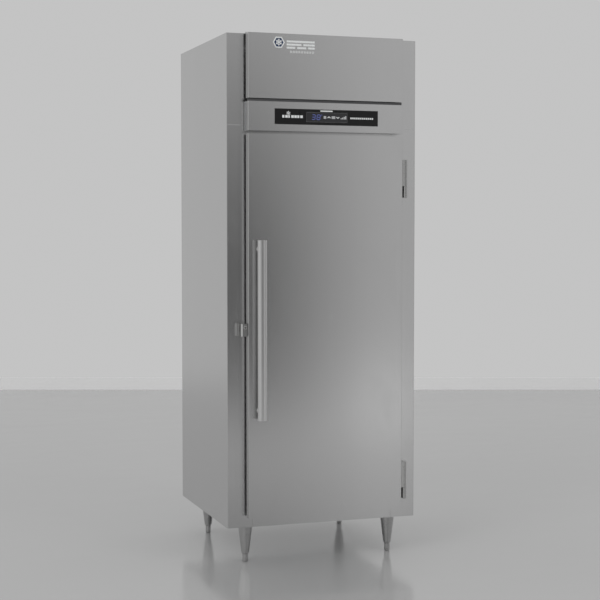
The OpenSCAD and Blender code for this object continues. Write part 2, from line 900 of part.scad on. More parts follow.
module front_left_leg() { leg(leg_xs[0], leg_front_y); }
module front_right_leg() { leg(leg_xs[1], leg_front_y); }
module back_left_leg() { leg(leg_xs[0], leg_back_y); }
module back_right_leg() { leg(leg_xs[1], leg_back_y); }
module front_left_foot() { foot(leg_xs[0], leg_front_y); }
module front_right_foot() { foot(leg_xs[1], leg_front_y); }
module back_left_foot() { foot(leg_xs[0], leg_back_y); }
module back_right_foot() { foot(leg_xs[1], leg_back_y); }

// ---- door hinges ----

// Knuckle and bracket that are screwed to the stile
module hinge_frame_leaves() {
    r = barrel_dia / 2;
    plate_h = frame_knuckle_l + door_knuckle_l + gap;
    color(steel) for (z = hinge_zs) {
        difference() {
            union() {
                rod_z([hinge_x, hinge_y, z], frame_knuckle_l, barrel_dia);
                block([hinge_x - 8, hinge_y, z], [hinge_x + 8, stile_y, z + frame_knuckle_l]);
            }
            rod_z([hinge_x, hinge_y, z + 4], plate_h, hinge_pin_dia);
        }
        block([hinge_x - 10, stile_y - 2.5, z], [hinge_x + 10, stile_y, z + plate_h]);
    }
}

// Pins pressed into the frame knuckles
module hinge_pins() {
    color("silver") for (z = hinge_zs)
        rod_z([hinge_x, hinge_y, z + 4], frame_knuckle_l + door_knuckle_l - 12, hinge_pin_dia);
}

// Knuckle that sits on the frame knuckle and is screwed to the edge of the door
module door_hinge_leaves() {
    color(steel) for (z = hinge_zs)
        difference() {
            union() {
                rod_z([hinge_x, hinge_y, z + frame_knuckle_l + gap], door_knuckle_l, barrel_dia);
                block([panel_half_w, panel_y + 1, z + frame_knuckle_l + gap],
                      [hinge_x, panel_y + barrel_dia - 1,
                       z + frame_knuckle_l + gap + door_knuckle_l]);
            }
            rod_z([hinge_x, hinge_y, z + frame_knuckle_l - 1], door_knuckle_l - 6,
                  hinge_pin_dia + 2 * pin_clearance);
        }
}

// ---- lock ----

// Block on the left stile that holds the key cylinder and the bolt
module lock_housing() {
    x0 = lock_x1 - lock_w;
    z0 = lock_z - lock_h / 2;
    z1 = lock_z + lock_h / 2;
    color(steel) difference() {
        union() {
            block([x0 - lock_flange_w, stile_y - lock_flange_t, z0], [lock_x1, stile_y, z1]);
            block([x0, lock_y, z0], [lock_x1, stile_y, z1]);
        }
        rod_y([lock_x, lock_y - 1, lock_z + 10], 19, cylinder_dia + 2 * pin_clearance);
        block([x0 + 1, bolt_y - bolt_slot, lock_z - 12 - bolt_slot],
              [lock_x1 + 1, bolt_y + bolt_t + bolt_slot, lock_z - 12 + bolt_h + bolt_slot]);
    }
}

// Key cylinder with its key slot
module lock_cylinder() {
    color("silver") difference() {
        rod_y([lock_x, lock_y - 1.2, lock_z + 10], 15, cylinder_dia);
        block([lock_x - 0.7, lock_y - 3, lock_z + 7], [lock_x + 0.7, lock_y + 8, lock_z + 13]);
    }
}

// Flat bolt that the cylinder throws into the edge of the door
module lock_bolt() {
    color("silver")
        block([lock_x1 - lock_w + 2, bolt_y, lock_z - 12],
              [lock_x1 - gap, bolt_y + bolt_t, lock_z - 12 + bolt_h]);
}

// Pocket for the bolt in the edge of the door
module bolt_pocket(grow) {
    block([-panel_half_w - 1, bolt_y - 1 - grow, lock_z - 13 - grow],
          [-panel_half_w + bolt_travel + 2 + grow, bolt_y + bolt_t + 0.8 + grow,
           lock_z - 11 + bolt_h + grow]);
}

// ---- door ----

module door_skin() {
    color(steel) difference() {
        front_tray(door_z0, door_z1, panel_d, skin_t);
        bolt_pocket(0);
    }
}

// Foam between the skin and the liner of the door
module door_core() {
    x = panel_half_w - skin_t - 0.1;
    z0 = door_z0 + skin_t + 0.1;
    z1 = door_z1 - skin_t - 0.1;
    t = 2.1;
    color(foam) difference() {
        union() {
            rounded_front(x, panel_y + skin_t + 0.1, panel_back_y - 0.1, z0, z1,
                          panel_bend_r - skin_t);
            block([-dike_half_w + t, panel_back_y - 1, dike_z0 + t],
                  [dike_half_w - t, dike_back_y - t, dike_z1 - t]);
        }
        block([-dike_half_w + dike_rim - t, dike_back_y - dike_recess - t, dike_z0 + dike_rim - t],
              [dike_half_w - dike_rim + t, dike_back_y + 1, dike_z1 - dike_rim + t]);
        bolt_pocket(1);
    }
}

// Back plate of the door with a raised dike that fills the mouth of the compartment
module door_liner() {
    t = 2;
    x = panel_half_w - 1;
    color(liner_steel) difference() {
        union() {
            block([-x, panel_back_y, door_z0 + 1], [x, plate_y, door_z1 - 1]);
            block([-dike_half_w, panel_back_y, dike_z0], [dike_half_w, dike_back_y, dike_z1]);
        }
        block([-dike_half_w + t, panel_back_y - 1, dike_z0 + t],
              [-dike_half_w + dike_rim - t, dike_back_y - t, dike_z1 - t]);
        block([dike_half_w - dike_rim + t, panel_back_y - 1, dike_z0 + t],
              [dike_half_w - t, dike_back_y - t, dike_z1 - t]);
        block([-dike_half_w + t, panel_back_y - 1, dike_z0 + t],
              [dike_half_w - t, dike_back_y - t, dike_z0 + dike_rim - t]);
        block([-dike_half_w + t, panel_back_y - 1, dike_z1 - dike_rim + t],
              [dike_half_w - t, dike_back_y - t, dike_z1 - t]);
        block([-dike_half_w + t, panel_back_y - 1, dike_z0 + t],
              [dike_half_w - t, dike_back_y - dike_recess - t, dike_z1 - t]);
        block([-dike_half_w + dike_rim, dike_back_y - dike_recess, dike_z0 + dike_rim],
              [dike_half_w - dike_rim, dike_back_y + 1, dike_z1 - dike_rim]);
    }
}

// Magnetic gasket: retainer, bellows and sealing face
module door_gasket() {
    half = mouth_half_w + breaker_lap + 1;
    z0 = room_z0 - breaker_lap - 1;
    z1 = room_z1 + breaker_lap + 1;
    rim = half - dike_half_w - 2;
    color([0.2, 0.2, 0.21]) {
        ring_y(half, z0, z1, rim, plate_y, plate_y + 4);
        ring_y(half - 6, z0 + 6, z1 - 6, rim - 12, plate_y + 3, gasket_y - 3);
        ring_y(half - 1, z0 + 1, z1 - 1, rim - 1, gasket_y - 4, gasket_y);
    }
}

// Oval bar on two standoffs
module door_handle() {
    a = handle_w / 2;
    b = handle_t / 2;
    steps = 40;
    z0 = handle_z - handle_l / 2;
    squareness = 2.2;
    color("silver") {
        translate([handle_x, handle_back_y - b, z0]) linear_extrude(handle_l)
            polygon([for (i = [0 : steps - 1]) let (t = 360 * i / steps, c = cos(t), s = sin(t))
                [a * sign(c) * pow(abs(c), 2 / squareness),
                 b * sign(s) * pow(abs(s), 2 / squareness)]]);
        for (z = [z0 + standoff_inset, z0 + handle_l - standoff_inset]) {
            rod_y([handle_x, handle_back_y - 4, z], handle_gap + 4, standoff_dia);
            rod_y([handle_x, panel_y - 2, z], 2, standoff_dia + 6);
        }
    }
}

// ---- hood ----

// Bracket with its knuckle and pin on the cross rail
module hood_hinge_brackets() {
    y = hood_hinge_y;
    z = hood_hinge_z;
    x = hood_bracket_x;
    color(steel) for (side = [0, 1]) mirror([side, 0, 0]) {
        rod_x([x + gap, y, z], hood_knuckle_l - gap, hood_barrel_dia);
        block([x + gap, y, z], [x + hood_knuckle_l, stile_y + 24, z + 2]);
        rod_x([x - hood_knuckle_l + 4, y, z], hood_knuckle_l, hood_pin_dia);
    }
}

// Lift-up hood: a tray with open back, and two knuckles on its top edge
module hood_panel() {
    x = hood_bracket_x;
    y = hood_hinge_y;
    z = hood_hinge_z;
    color(steel) difference() {
        union() {
            front_tray(hood_z0, top_z - gap, panel_d, skin_t);
            for (side = [0, 1]) mirror([side, 0, 0]) {
                rod_x([x - hood_knuckle_l, y, z], hood_knuckle_l, hood_barrel_dia);
                block([x - hood_knuckle_l, panel_back_y - 8, z - 1.5],
                      [x, y, z + 0.5]);
            }
        }
        for (side = [0, 1]) mirror([side, 0, 0])
            rod_x([x - hood_knuckle_l - 1, y, z], hood_knuckle_l + 2,
                  hood_pin_dia + 2 * pin_clearance);
    }
}

left_side_panel();
right_side_panel();
back_panel();
base_pan();
top_deck();
front_header();
top_cross_rail();
cabinet_insulation();
liner_left();
liner_right();
liner_back();
liner_floor();
liner_ceiling();
breaker_frame();
shelf_pilasters();
shelf_clips();
lower_shelf();
middle_shelf();
upper_shelf();
control_fascia();
control_label();
display_lens();
up_key();
down_key();
interior_lamp();
evaporator_housing();
evaporator_coil();
evaporator_fan_motor();
evaporator_fan();
unit_tray();
compressor();
condenser_coil();
condenser_fan_shroud();
condenser_fan_motor();
condenser_fan();
refrigerant_lines();
air_filter();
electrical_box();
rear_grille();
front_left_leg();
front_right_leg();
back_left_leg();
back_right_leg();
front_left_foot();
front_right_foot();
back_left_foot();
back_right_foot();
hinge_frame_leaves();
hinge_pins();
hood_hinge_brackets();
lock_housing();
lock_cylinder();
lock_bolt();
door_skin();
door_core();
door_liner();
door_gasket();
door_handle();
door_hinge_leaves();
hood_panel();
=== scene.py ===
import json
from math import cos, pi, radians, sin, sqrt, tan, tau

import bmesh
import bpy
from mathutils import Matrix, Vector


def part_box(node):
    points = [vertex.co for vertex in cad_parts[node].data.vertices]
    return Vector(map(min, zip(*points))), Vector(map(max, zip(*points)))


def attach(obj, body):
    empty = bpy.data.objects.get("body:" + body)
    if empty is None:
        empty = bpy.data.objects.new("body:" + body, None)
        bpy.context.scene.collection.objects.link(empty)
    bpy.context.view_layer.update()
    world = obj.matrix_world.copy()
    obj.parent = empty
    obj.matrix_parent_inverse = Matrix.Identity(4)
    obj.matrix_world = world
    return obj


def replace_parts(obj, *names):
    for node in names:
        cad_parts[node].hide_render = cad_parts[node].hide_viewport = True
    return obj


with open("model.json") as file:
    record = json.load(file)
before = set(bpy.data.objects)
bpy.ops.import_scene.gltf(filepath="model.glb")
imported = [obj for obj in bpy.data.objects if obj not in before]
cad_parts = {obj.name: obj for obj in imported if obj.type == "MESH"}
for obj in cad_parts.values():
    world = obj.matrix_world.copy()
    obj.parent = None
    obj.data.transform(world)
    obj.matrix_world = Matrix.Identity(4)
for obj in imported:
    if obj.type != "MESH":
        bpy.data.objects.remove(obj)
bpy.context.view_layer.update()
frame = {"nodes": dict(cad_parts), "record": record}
NODES = frame["nodes"]


# ---- camera, stage and light

camera = bpy.data.objects.new("camera", bpy.data.cameras.new("camera"))
bpy.context.scene.collection.objects.link(camera)
camera.location = (-1.937, -5.7255, 1.364)
camera.rotation_euler = [radians(a) for a in (87.04, 0.0, -18.8)]
camera.data.lens = 84.66
camera.data.sensor_width = 36
camera.data.clip_end = 60
bpy.context.scene.camera = camera
bpy.context.scene.view_settings.view_transform = "Standard"

WALL = 0.55
FLOOR_R = 6.4
FLOOR_BACK = 5.76
SKIRTING_H = 0.1
CARD_Y = -3.0
CARD_LEFT = -3.4
CARD_WIDTH = 8.0
CARD_OPEN = 0.61
GLOW = 1.3
GLOW_X, GLOW_Z = 1.33, 0.25
GLOW_HALF = (0.25, 0.45)
CARD_SIDE = [(-3.4, 0.85), (-2.2, 0.70), (-1.2, 0.48), (-0.2, 0.34), (0.16, 0.05), (0.42, 0.04),
             (0.58, 0.17), (0.95, 0.40), (1.4, 0.63), (1.7, 0.60), (2.2, 0.24), (4.6, 0.20)]
CARD_MASK = [(0.02, 0.05), (0.14, 0.25), (0.42, 0.86), (0.80, 1.0), (1.15, 1.0), (1.55, 0.88),
             (1.85, 0.72), (2.3, 0.5), (2.9, 0.2), (3.42, 0.0)]


def set_world():
    world = bpy.data.worlds.new("studio")
    bpy.context.scene.world = world
    world.use_nodes = True
    background = world.node_tree.nodes["Background"]
    background.inputs["Color"].default_value = (WALL, WALL, WALL, 1)
    background.inputs["Strength"].default_value = 1.0


def area_light(name, place, target, size, power):
    data = bpy.data.lights.new(name, "AREA")
    data.shape = "RECTANGLE"
    data.size, data.size_y = size
    data.energy = power
    light = bpy.data.objects.new(name, data)
    light.location = place
    light.rotation_euler = (Vector(target) - Vector(place)).to_track_quat("-Z", "Y").to_euler()
    bpy.context.scene.collection.objects.link(light)
    light.visible_glossy = False


# ---- material nodes

class Shade:
    """A Principled material with procedural inputs in the object's own metres."""

    def __init__(self, name, **sockets):
        self.material = bpy.data.materials.new(name)
        self.material.use_nodes = True
        self.tree = self.material.node_tree
        self.tree.nodes.clear()
        output = self.tree.nodes.new("ShaderNodeOutputMaterial")
        self.bsdf = self.tree.nodes.new("ShaderNodeBsdfPrincipled")
        self.tree.links.new(self.bsdf.outputs[0], output.inputs["Surface"])
        for key, value in sockets.items():
            self.bsdf.inputs[key.replace("_", " ")].default_value = value
        self.place = self.tree.nodes.new("ShaderNodeTexCoord").outputs["Object"]

    def node(self, kind, inputs=(), **settings):
        made = self.tree.nodes.new(kind)
        for key, value in settings.items():
            setattr(made, key, value)
        for key, value in dict(inputs).items():
            if isinstance(value, bpy.types.NodeSocket):
                self.tree.links.new(value, made.inputs[key])
            else:
                made.inputs[key].default_value = value
        return made

    def scaled(self, scale):
        if isinstance(scale, (int, float)):
            scale = (scale,) * 3
        return self.node("ShaderNodeMapping", {"Vector": self.place, "Scale": scale}).outputs[0]

    def noise(self, scale, detail=2.0, rough=0.5, twist=0.0):
        made = self.node("ShaderNodeTexNoise", {
            "Vector": self.scaled(scale), "Scale": 1.0, "Detail": detail,
            "Roughness": rough, "Distortion": twist})
        return made.outputs[0]

    def cells(self, scale, output="Distance", jitter=1.0):
        return self.node("ShaderNodeTexVoronoi", {
            "Vector": self.scaled(scale), "Scale": 1.0, "Randomness": jitter}).outputs[output]

    def math(self, operation, a, b=0.0):
        return self.node("ShaderNodeMath", {0: a, 1: b}, operation=operation).outputs[0]

    def span(self, value, low, high, to_low=0.0, to_high=1.0):
        made = self.node("ShaderNodeMapRange", {
            "Value": value, "From Min": low, "From Max": high,
            "To Min": to_low, "To Max": to_high})
        return made.outputs[0]

    def tint(self, fac, a, b):
        made = self.tree.nodes.new("ShaderNodeMix")
        made.data_type = "RGBA"
        self.tree.links.new(fac, made.inputs[0])
        for socket, value in ((made.inputs[6], a), (made.inputs[7], b)):
            if isinstance(value, bpy.types.NodeSocket):
                self.tree.links.new(value, socket)
            else:
                socket.default_value = (*value, 1)
        return made.outputs[2]

    def ramp(self, value, stops):
        """Grey levels at places between 0 and 1, blended softly."""
        made = self.tree.nodes.new("ShaderNodeValToRGB")
        self.tree.links.new(value, made.inputs[0])
        made.color_ramp.interpolation = "EASE"
        elements = made.color_ramp.elements
        while len(elements) < len(stops):
            elements.new(0.5)
        for element, (place, level) in zip(elements, stops):
            element.position = place
            element.color = (level, level, level, 1)
        return made.outputs[0]

    def worn_edge(self, radius):
        """1 along edges and corners, 0 on open faces."""
        bevel = self.node("ShaderNodeBevel", {"Radius": radius}, samples=4)
        normal = self.node("ShaderNodeNewGeometry").outputs["Normal"]
        dot = self.node("ShaderNodeVectorMath", {0: bevel.outputs[0], 1: normal},
                        operation="DOT_PRODUCT").outputs["Value"]
        return self.span(dot, 0.99, 0.80)

    def feed(self, socket, value):
        self.tree.links.new(value, self.bsdf.inputs[socket])

    def bump(self, height, strength, distance, under=None):
        inputs = {"Height": height, "Strength": strength, "Distance": distance}
        if under is not None:
            inputs["Normal"] = under
        made = self.node("ShaderNodeBump", inputs).outputs[0]
        self.feed("Normal", made)
        return made


def dim(base, factor, lift=0.0):
    return tuple(min(1.0, c * factor + lift) for c in base)


def brushed(name, base, rough, streak=0.012, smudge=0.02, wave=0.0004, fine=0.10):
    """Brushed sheet metal, upright: fine grain, faint streaks, handling smudges and a slow waviness."""
    s = Shade(name, Metallic=1.0)
    grains = s.noise((1500, 1500, 14), 2.0, 0.6)
    broad = s.noise((110, 110, 0.9), 3.0, 0.65)
    cloud = s.span(s.noise((1.6, 1.6, 1.2), 2.0, 0.45), 0.35, 0.65)
    smear = s.span(s.noise((7.0, 7.0, 4.0), 5.0, 0.62, 1.2), 0.52, 0.74)
    shade = s.span(s.math("ADD", s.math("MULTIPLY", grains, 0.6), s.math("MULTIPLY", broad, 0.8)),
                   0.45, 0.95)
    darker = dim(base, 1 - 4.0 * streak)
    dull = dim(base, 0.975)
    colour = s.tint(shade, darker, base)
    s.feed("Base Color", s.tint(s.math("MULTIPLY", cloud, 0.6), colour, dull))
    level = s.math("ADD", s.span(grains, 0.3, 0.7, rough - 0.02, rough + 0.02),
                   s.math("MULTIPLY", smear, smudge))
    s.feed("Roughness", level)
    under = s.bump(s.noise((2.1, 2.1, 1.4), 1.0, 0.4), 1.0, wave)
    s.bump(grains, fine, 0.00006, under)
    return s.material


def painted(name, base, rough, peel=0.35, grit=0.1, wear=None):
    """Powder coat or moulded paint with orange peel, dust and, if asked, bare worn edges."""
    s = Shade(name)
    cloud = s.noise(9, 4.0, 0.6)
    dark = dim(base, 0.82)
    colour = s.tint(cloud, dark, base)
    dust = s.span(s.noise((46, 46, 30), 5.0, 0.7), 0.56, 0.8)
    pale = dim(base, 0.75, 0.12)
    colour = s.tint(s.math("MULTIPLY", dust, grit), colour, pale)
    if wear:
        colour = s.tint(s.math("MULTIPLY", s.worn_edge(0.0012), 0.8), colour, wear)
    s.feed("Base Color", colour)
    s.feed("Roughness", s.span(s.noise(60, 3.0), 0.3, 0.7, rough - 0.06, rough + 0.08))
    s.bump(s.noise(900, 2.0, 0.5), peel, 0.00008)
    return s.material


def moulded(name, base, rough, speck=0.06, grain=0.3, scale=1400, **sockets):
    """Moulded plastic or rubber: fine texture, slight mottling and scuffed edges."""
    s = Shade(name, **sockets)
    mottle = s.noise(14, 5.0, 0.6)
    low = dim(base, 1 - 2 * speck)
    high = dim(base, 1 + speck)
    colour = s.tint(mottle, low, high)
    scuff = s.math("MULTIPLY", s.worn_edge(0.0009), 0.35)
    s.feed("Base Color", s.tint(scuff, colour, dim(base, 0.8, 0.1)))
    s.feed("Roughness", s.span(s.noise(38, 4.0, 0.6), 0.3, 0.7, rough - 0.05, rough + 0.09))
    s.bump(s.cells(scale), grain, 0.00007)
    return s.material


def galvanised(name, base, rough):
    """Zinc-coated sheet with its spangle."""
    s = Shade(name, Metallic=1.0)
    spangle = s.cells(70, output="Color")
    level = s.node("ShaderNodeSeparateColor", {0: spangle}).outputs[0]
    rust = s.span(s.noise(22, 6.0, 0.7), 0.62, 0.8)
    colour = s.tint(level, dim(base, 0.84), base)
    s.feed("Base Color", s.tint(s.math("MULTIPLY", rust, 0.25), colour, (0.33, 0.30, 0.27)))
    s.feed("Roughness", s.span(level, 0, 1, rough - 0.08, rough + 0.1))
    s.bump(level, 0.15, 0.0001)
    return s.material


def plated(name, base, rough, scratch=0.25):
    """Turned or cast metal: polishing lines all ways and darker spots at random."""
    s = Shade(name, Metallic=1.0)
    fine = s.noise(420, 4.0, 0.7)
    spots = s.span(s.noise(33, 5.0, 0.65), 0.45, 0.75)
    colour = s.tint(fine, dim(base, 0.9), base)
    s.feed("Base Color", s.tint(s.math("MULTIPLY", spots, 0.35), colour, dim(base, 0.8)))
    s.feed("Roughness", s.span(fine, 0.3, 0.7, rough - 0.05, rough + 0.07))
    s.bump(s.noise(800, 3.0), scratch, 0.00005)
    return s.material


def copper(name):
    s = Shade(name, Metallic=1.0)
    tarnish = s.span(s.noise(28, 6.0, 0.65, 0.8), 0.42, 0.72)
    colour = s.tint(s.noise(150, 3.0), (0.72, 0.36, 0.22), (0.80, 0.44, 0.29))
    s.feed("Base Color", s.tint(tarnish, colour, (0.36, 0.20, 0.13)))
    s.feed("Roughness", s.span(tarnish, 0, 1, 0.24, 0.5))
    s.bump(s.noise(300, 3.0), 0.2, 0.00008)
    return s.material


def foam_core(name):
    s = Shade(name)
    cells = s.cells(420)
    s.feed("Base Color", s.tint(s.noise(12, 5.0), (0.62, 0.50, 0.24), (0.80, 0.70, 0.42)))
    s.feed("Roughness", s.span(cells, 0, 1, 0.95, 0.75))
    s.bump(cells, 0.8, 0.0006)
    return s.material


def smoked_window(name):
    """Dark window of the display, with a faint printed mesh behind it."""
    s = Shade(name, Coat_Weight=0.25, Coat_Roughness=0.08)
    dots = s.span(s.cells(900, jitter=0.0), 0.25, 0.45)
    s.feed("Base Color", s.tint(dots, (0.012, 0.012, 0.014), (0.020, 0.020, 0.023)))
    s.feed("Roughness", s.span(s.noise(25, 4.0), 0.3, 0.7, 0.16, 0.26))
    return s.material


def glowing(name, base, glow, strength):
    """Lit or back-lit print, with a faint grid of the display."""
    s = Shade(name, Emission_Strength=strength)
    grid = s.span(s.noise(700, 2.0), 0.3, 0.7, 0.75, 1.0)
    s.feed("Base Color", s.tint(grid, dim(base, 0.7), base))
    s.feed("Emission Color", s.tint(grid, dim(glow, 0.7), glow))
    s.feed("Roughness", s.span(grid, 0, 1, 0.5, 0.35))
    return s.material


def printed(name, base, rough=0.45):
    """Screen-printed ink or enamel: slightly uneven cover."""
    s = Shade(name)
    cover = s.span(s.noise(260, 4.0, 0.6), 0.25, 0.6)
    s.feed("Base Color", s.tint(cover, dim(base, 0.86), base))
    s.feed("Roughness", s.span(s.noise(90, 3.0), 0.3, 0.7, rough - 0.06, rough + 0.06))
    s.bump(s.noise(1200, 2.0), 0.15, 0.00004)
    return s.material


def floor_material():
    """Sealed pale floor: soft cloudy gloss."""
    s = Shade("stage_floor", IOR=2.5)
    cloud = s.noise(0.9, 4.0, 0.5, 0.3)
    s.feed("Base Color", s.tint(cloud, (0.52, 0.52, 0.52), (0.56, 0.56, 0.56)))
    patch = s.noise((1.6, 3.2, 1.0), 3.0, 0.5, 0.5)
    s.feed("Roughness", s.span(patch, 0.35, 0.7, 0.11, 0.17))
    s.bump(s.noise((1.1, 2.1, 1.0), 1.0, 0.4, 0.2), 0.2, 0.002)
    return s.material


STEEL = (0.62, 0.62, 0.62)
LOOKS = (
    (brushed, "outer_steel", STEEL, 0.24, 0.009, 0.02, 0.0004, 0.05),
    (galvanised, "back_sheet", (0.60, 0.61, 0.62), 0.38),
    (foam_core, "foam"),
    (brushed, "liner_metal", (0.78, 0.785, 0.79), 0.34, 0.02, 0.03),
    (moulded, "breaker_plastic", (0.36, 0.37, 0.38), 0.48),
    (plated, "clip_metal", (0.66, 0.66, 0.65), 0.26),
    (moulded, "shelf_coating", (0.60, 0.62, 0.62), 0.36, 0.04, 0.2),
    (moulded, "label_film", (0.009, 0.009, 0.0095), 0.30, 0.05, 0.10, 2600),
    (smoked_window, "display_window"),
    (moulded, "key_rubber", (0.045, 0.046, 0.050), 0.55, 0.06, 0.4, 2200),
    (moulded, "lamp_plastic", (0.86, 0.86, 0.83), 0.30, 0.02, 0.15, 900),
    (plated, "coil_fins", (0.72, 0.73, 0.74), 0.36),
    (painted, "motor_black", (0.022, 0.022, 0.024), 0.42, 0.4, 0.12, (0.3, 0.3, 0.3)),
    (moulded, "fan_plastic", (0.055, 0.056, 0.060), 0.42),
    (galvanised, "galvanised", (0.62, 0.63, 0.64), 0.36),
    (copper, "copper_tube"),
    (plated, "filter_mesh", (0.60, 0.61, 0.62), 0.40),
    (painted, "box_paint", (0.50, 0.51, 0.52), 0.46),
    (brushed, "leg_steel", (0.52, 0.52, 0.518), 0.26, 0.03, 0.05, 0.0, 0.2),
    (plated, "hinge_steel", (0.52, 0.52, 0.515), 0.28),
    (plated, "pin_steel", (0.55, 0.55, 0.54), 0.24),
    (brushed, "lock_metal", (0.58, 0.58, 0.575), 0.24, 0.02, 0.03, 0.0, 0.08),
    (moulded, "gasket_rubber", (0.085, 0.085, 0.088), 0.62, 0.08, 0.3),
    (brushed, "handle_steel", (0.70, 0.70, 0.697), 0.30, 0.02, 0.03, 0.0, 0.08),
)
SPECIAL = {"label_film": {"Specular_IOR_Level": 0.3}, "lamp_plastic": {"Transmission_Weight": 0.25}}
SLOTS = {name: make(name, *values, **SPECIAL.get(name, {})) for make, name, *values in LOOKS}


# ---- CAD nodes: soft edges and materials

SHARP_ANGLE = radians(34)


def make_object(name, bm, material):
    mesh = bpy.data.meshes.new(name)
    bm.to_mesh(mesh)
    bm.free()
    mesh.materials.append(material)
    made = bpy.data.objects.new(name, mesh)
    bpy.context.scene.collection.objects.link(made)
    return made


def smoothing_nodes():
    """Shades every face smooth, except across edges sharper than SHARP_ANGLE."""
    tree = bpy.data.node_groups.new("smooth_by_angle", "GeometryNodeTree")
    new, link = tree.nodes.new, tree.links.new
    for way in ("INPUT", "OUTPUT"):
        tree.interface.new_socket("Geometry", in_out=way, socket_type="NodeSocketGeometry")
    start, end = new("NodeGroupInput"), new("NodeGroupOutput")
    faces = new("GeometryNodeSetShadeSmooth")
    edges = new("GeometryNodeSetShadeSmooth")
    edges.domain = "EDGE"
    edges.inputs["Shade Smooth"].default_value = False
    angle = new("GeometryNodeInputMeshEdgeAngle")
    sharp = new("FunctionNodeCompare")
    sharp.operation = "GREATER_THAN"
    sharp.inputs[1].default_value = SHARP_ANGLE
    link(start.outputs[0], faces.inputs[0])
    link(faces.outputs[0], edges.inputs[0])
    link(angle.outputs["Unsigned Angle"], sharp.inputs[0])
    link(sharp.outputs[0], edges.inputs["Selection"])
    link(edges.outputs[0], end.inputs[0])
    return tree


def soften(obj, width, smooth=None):
    weld = obj.modifiers.new("weld", "WELD")
    weld.merge_threshold = 1e-6
    if smooth:
        obj.modifiers.new("smooth", "NODES").node_group = smooth
    bevel = obj.modifiers.new("bevel", "BEVEL")
    bevel.width = width
    bevel.segments = 2
    bevel.limit_method = "ANGLE"
    bevel.angle_limit = SHARP_ANGLE
    weighted = obj.modifiers.new("weighted", "WEIGHTED_NORMAL")
    weighted.keep_sharp = True


slot_of = {entry["node"]: entry["material_slot"] for entry in frame["record"]["subparts"]}
SOFT_WIDTH = {"door_skin": 0.0009, "hood_panel": 0.0009, "control_fascia": 0.0009,
              "lock_housing": 0.0012, "door_handle": 0.0016, "compressor": 0.0015}

SMOOTHING = smoothing_nodes()
for node_name, node_object in NODES.items():
    for material_slot in node_object.material_slots:
        material_slot.material = SLOTS[slot_of[node_name]]
    soften(node_object, SOFT_WIDTH.get(node_name, 0.0005), smooth=SMOOTHING)


# ---- mesh building, in millimetres of the row frame

X, Y, Z = Vector((1, 0, 0)), Vector((0, 1, 0)), Vector((0, 0, 1))
MM = 0.001


def box_mm(node):
    low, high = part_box(node)
    return Vector(low) / MM, Vector(high) / MM


def middle(node):
    low, high = box_mm(node)
    return (low + high) / 2


def around(centre, r, a):
    """The point at radius r and angle a about the y axis through centre."""
    return centre + (X * cos(a) + Z * sin(a)) * r


def run(start, step, count):
    return [start + step * k for k in range(count)]


def spread(first, last, count):
    """Evenly spaced values, with both ends."""
    return [first + (last - first) * k / (count - 1) for k in range(count)]


def pitched(first, last, pitch):
    """Values from first on, as far as they stay short of last."""
    values = []
    while first < last:
        values.append(first)
        first += pitch
    return values


def across(axis):
    """Two directions square to an axis."""
    u = axis.cross(Z if abs(axis.z) < 0.9 else X).normalized()
    return u, axis.cross(u).normalized()


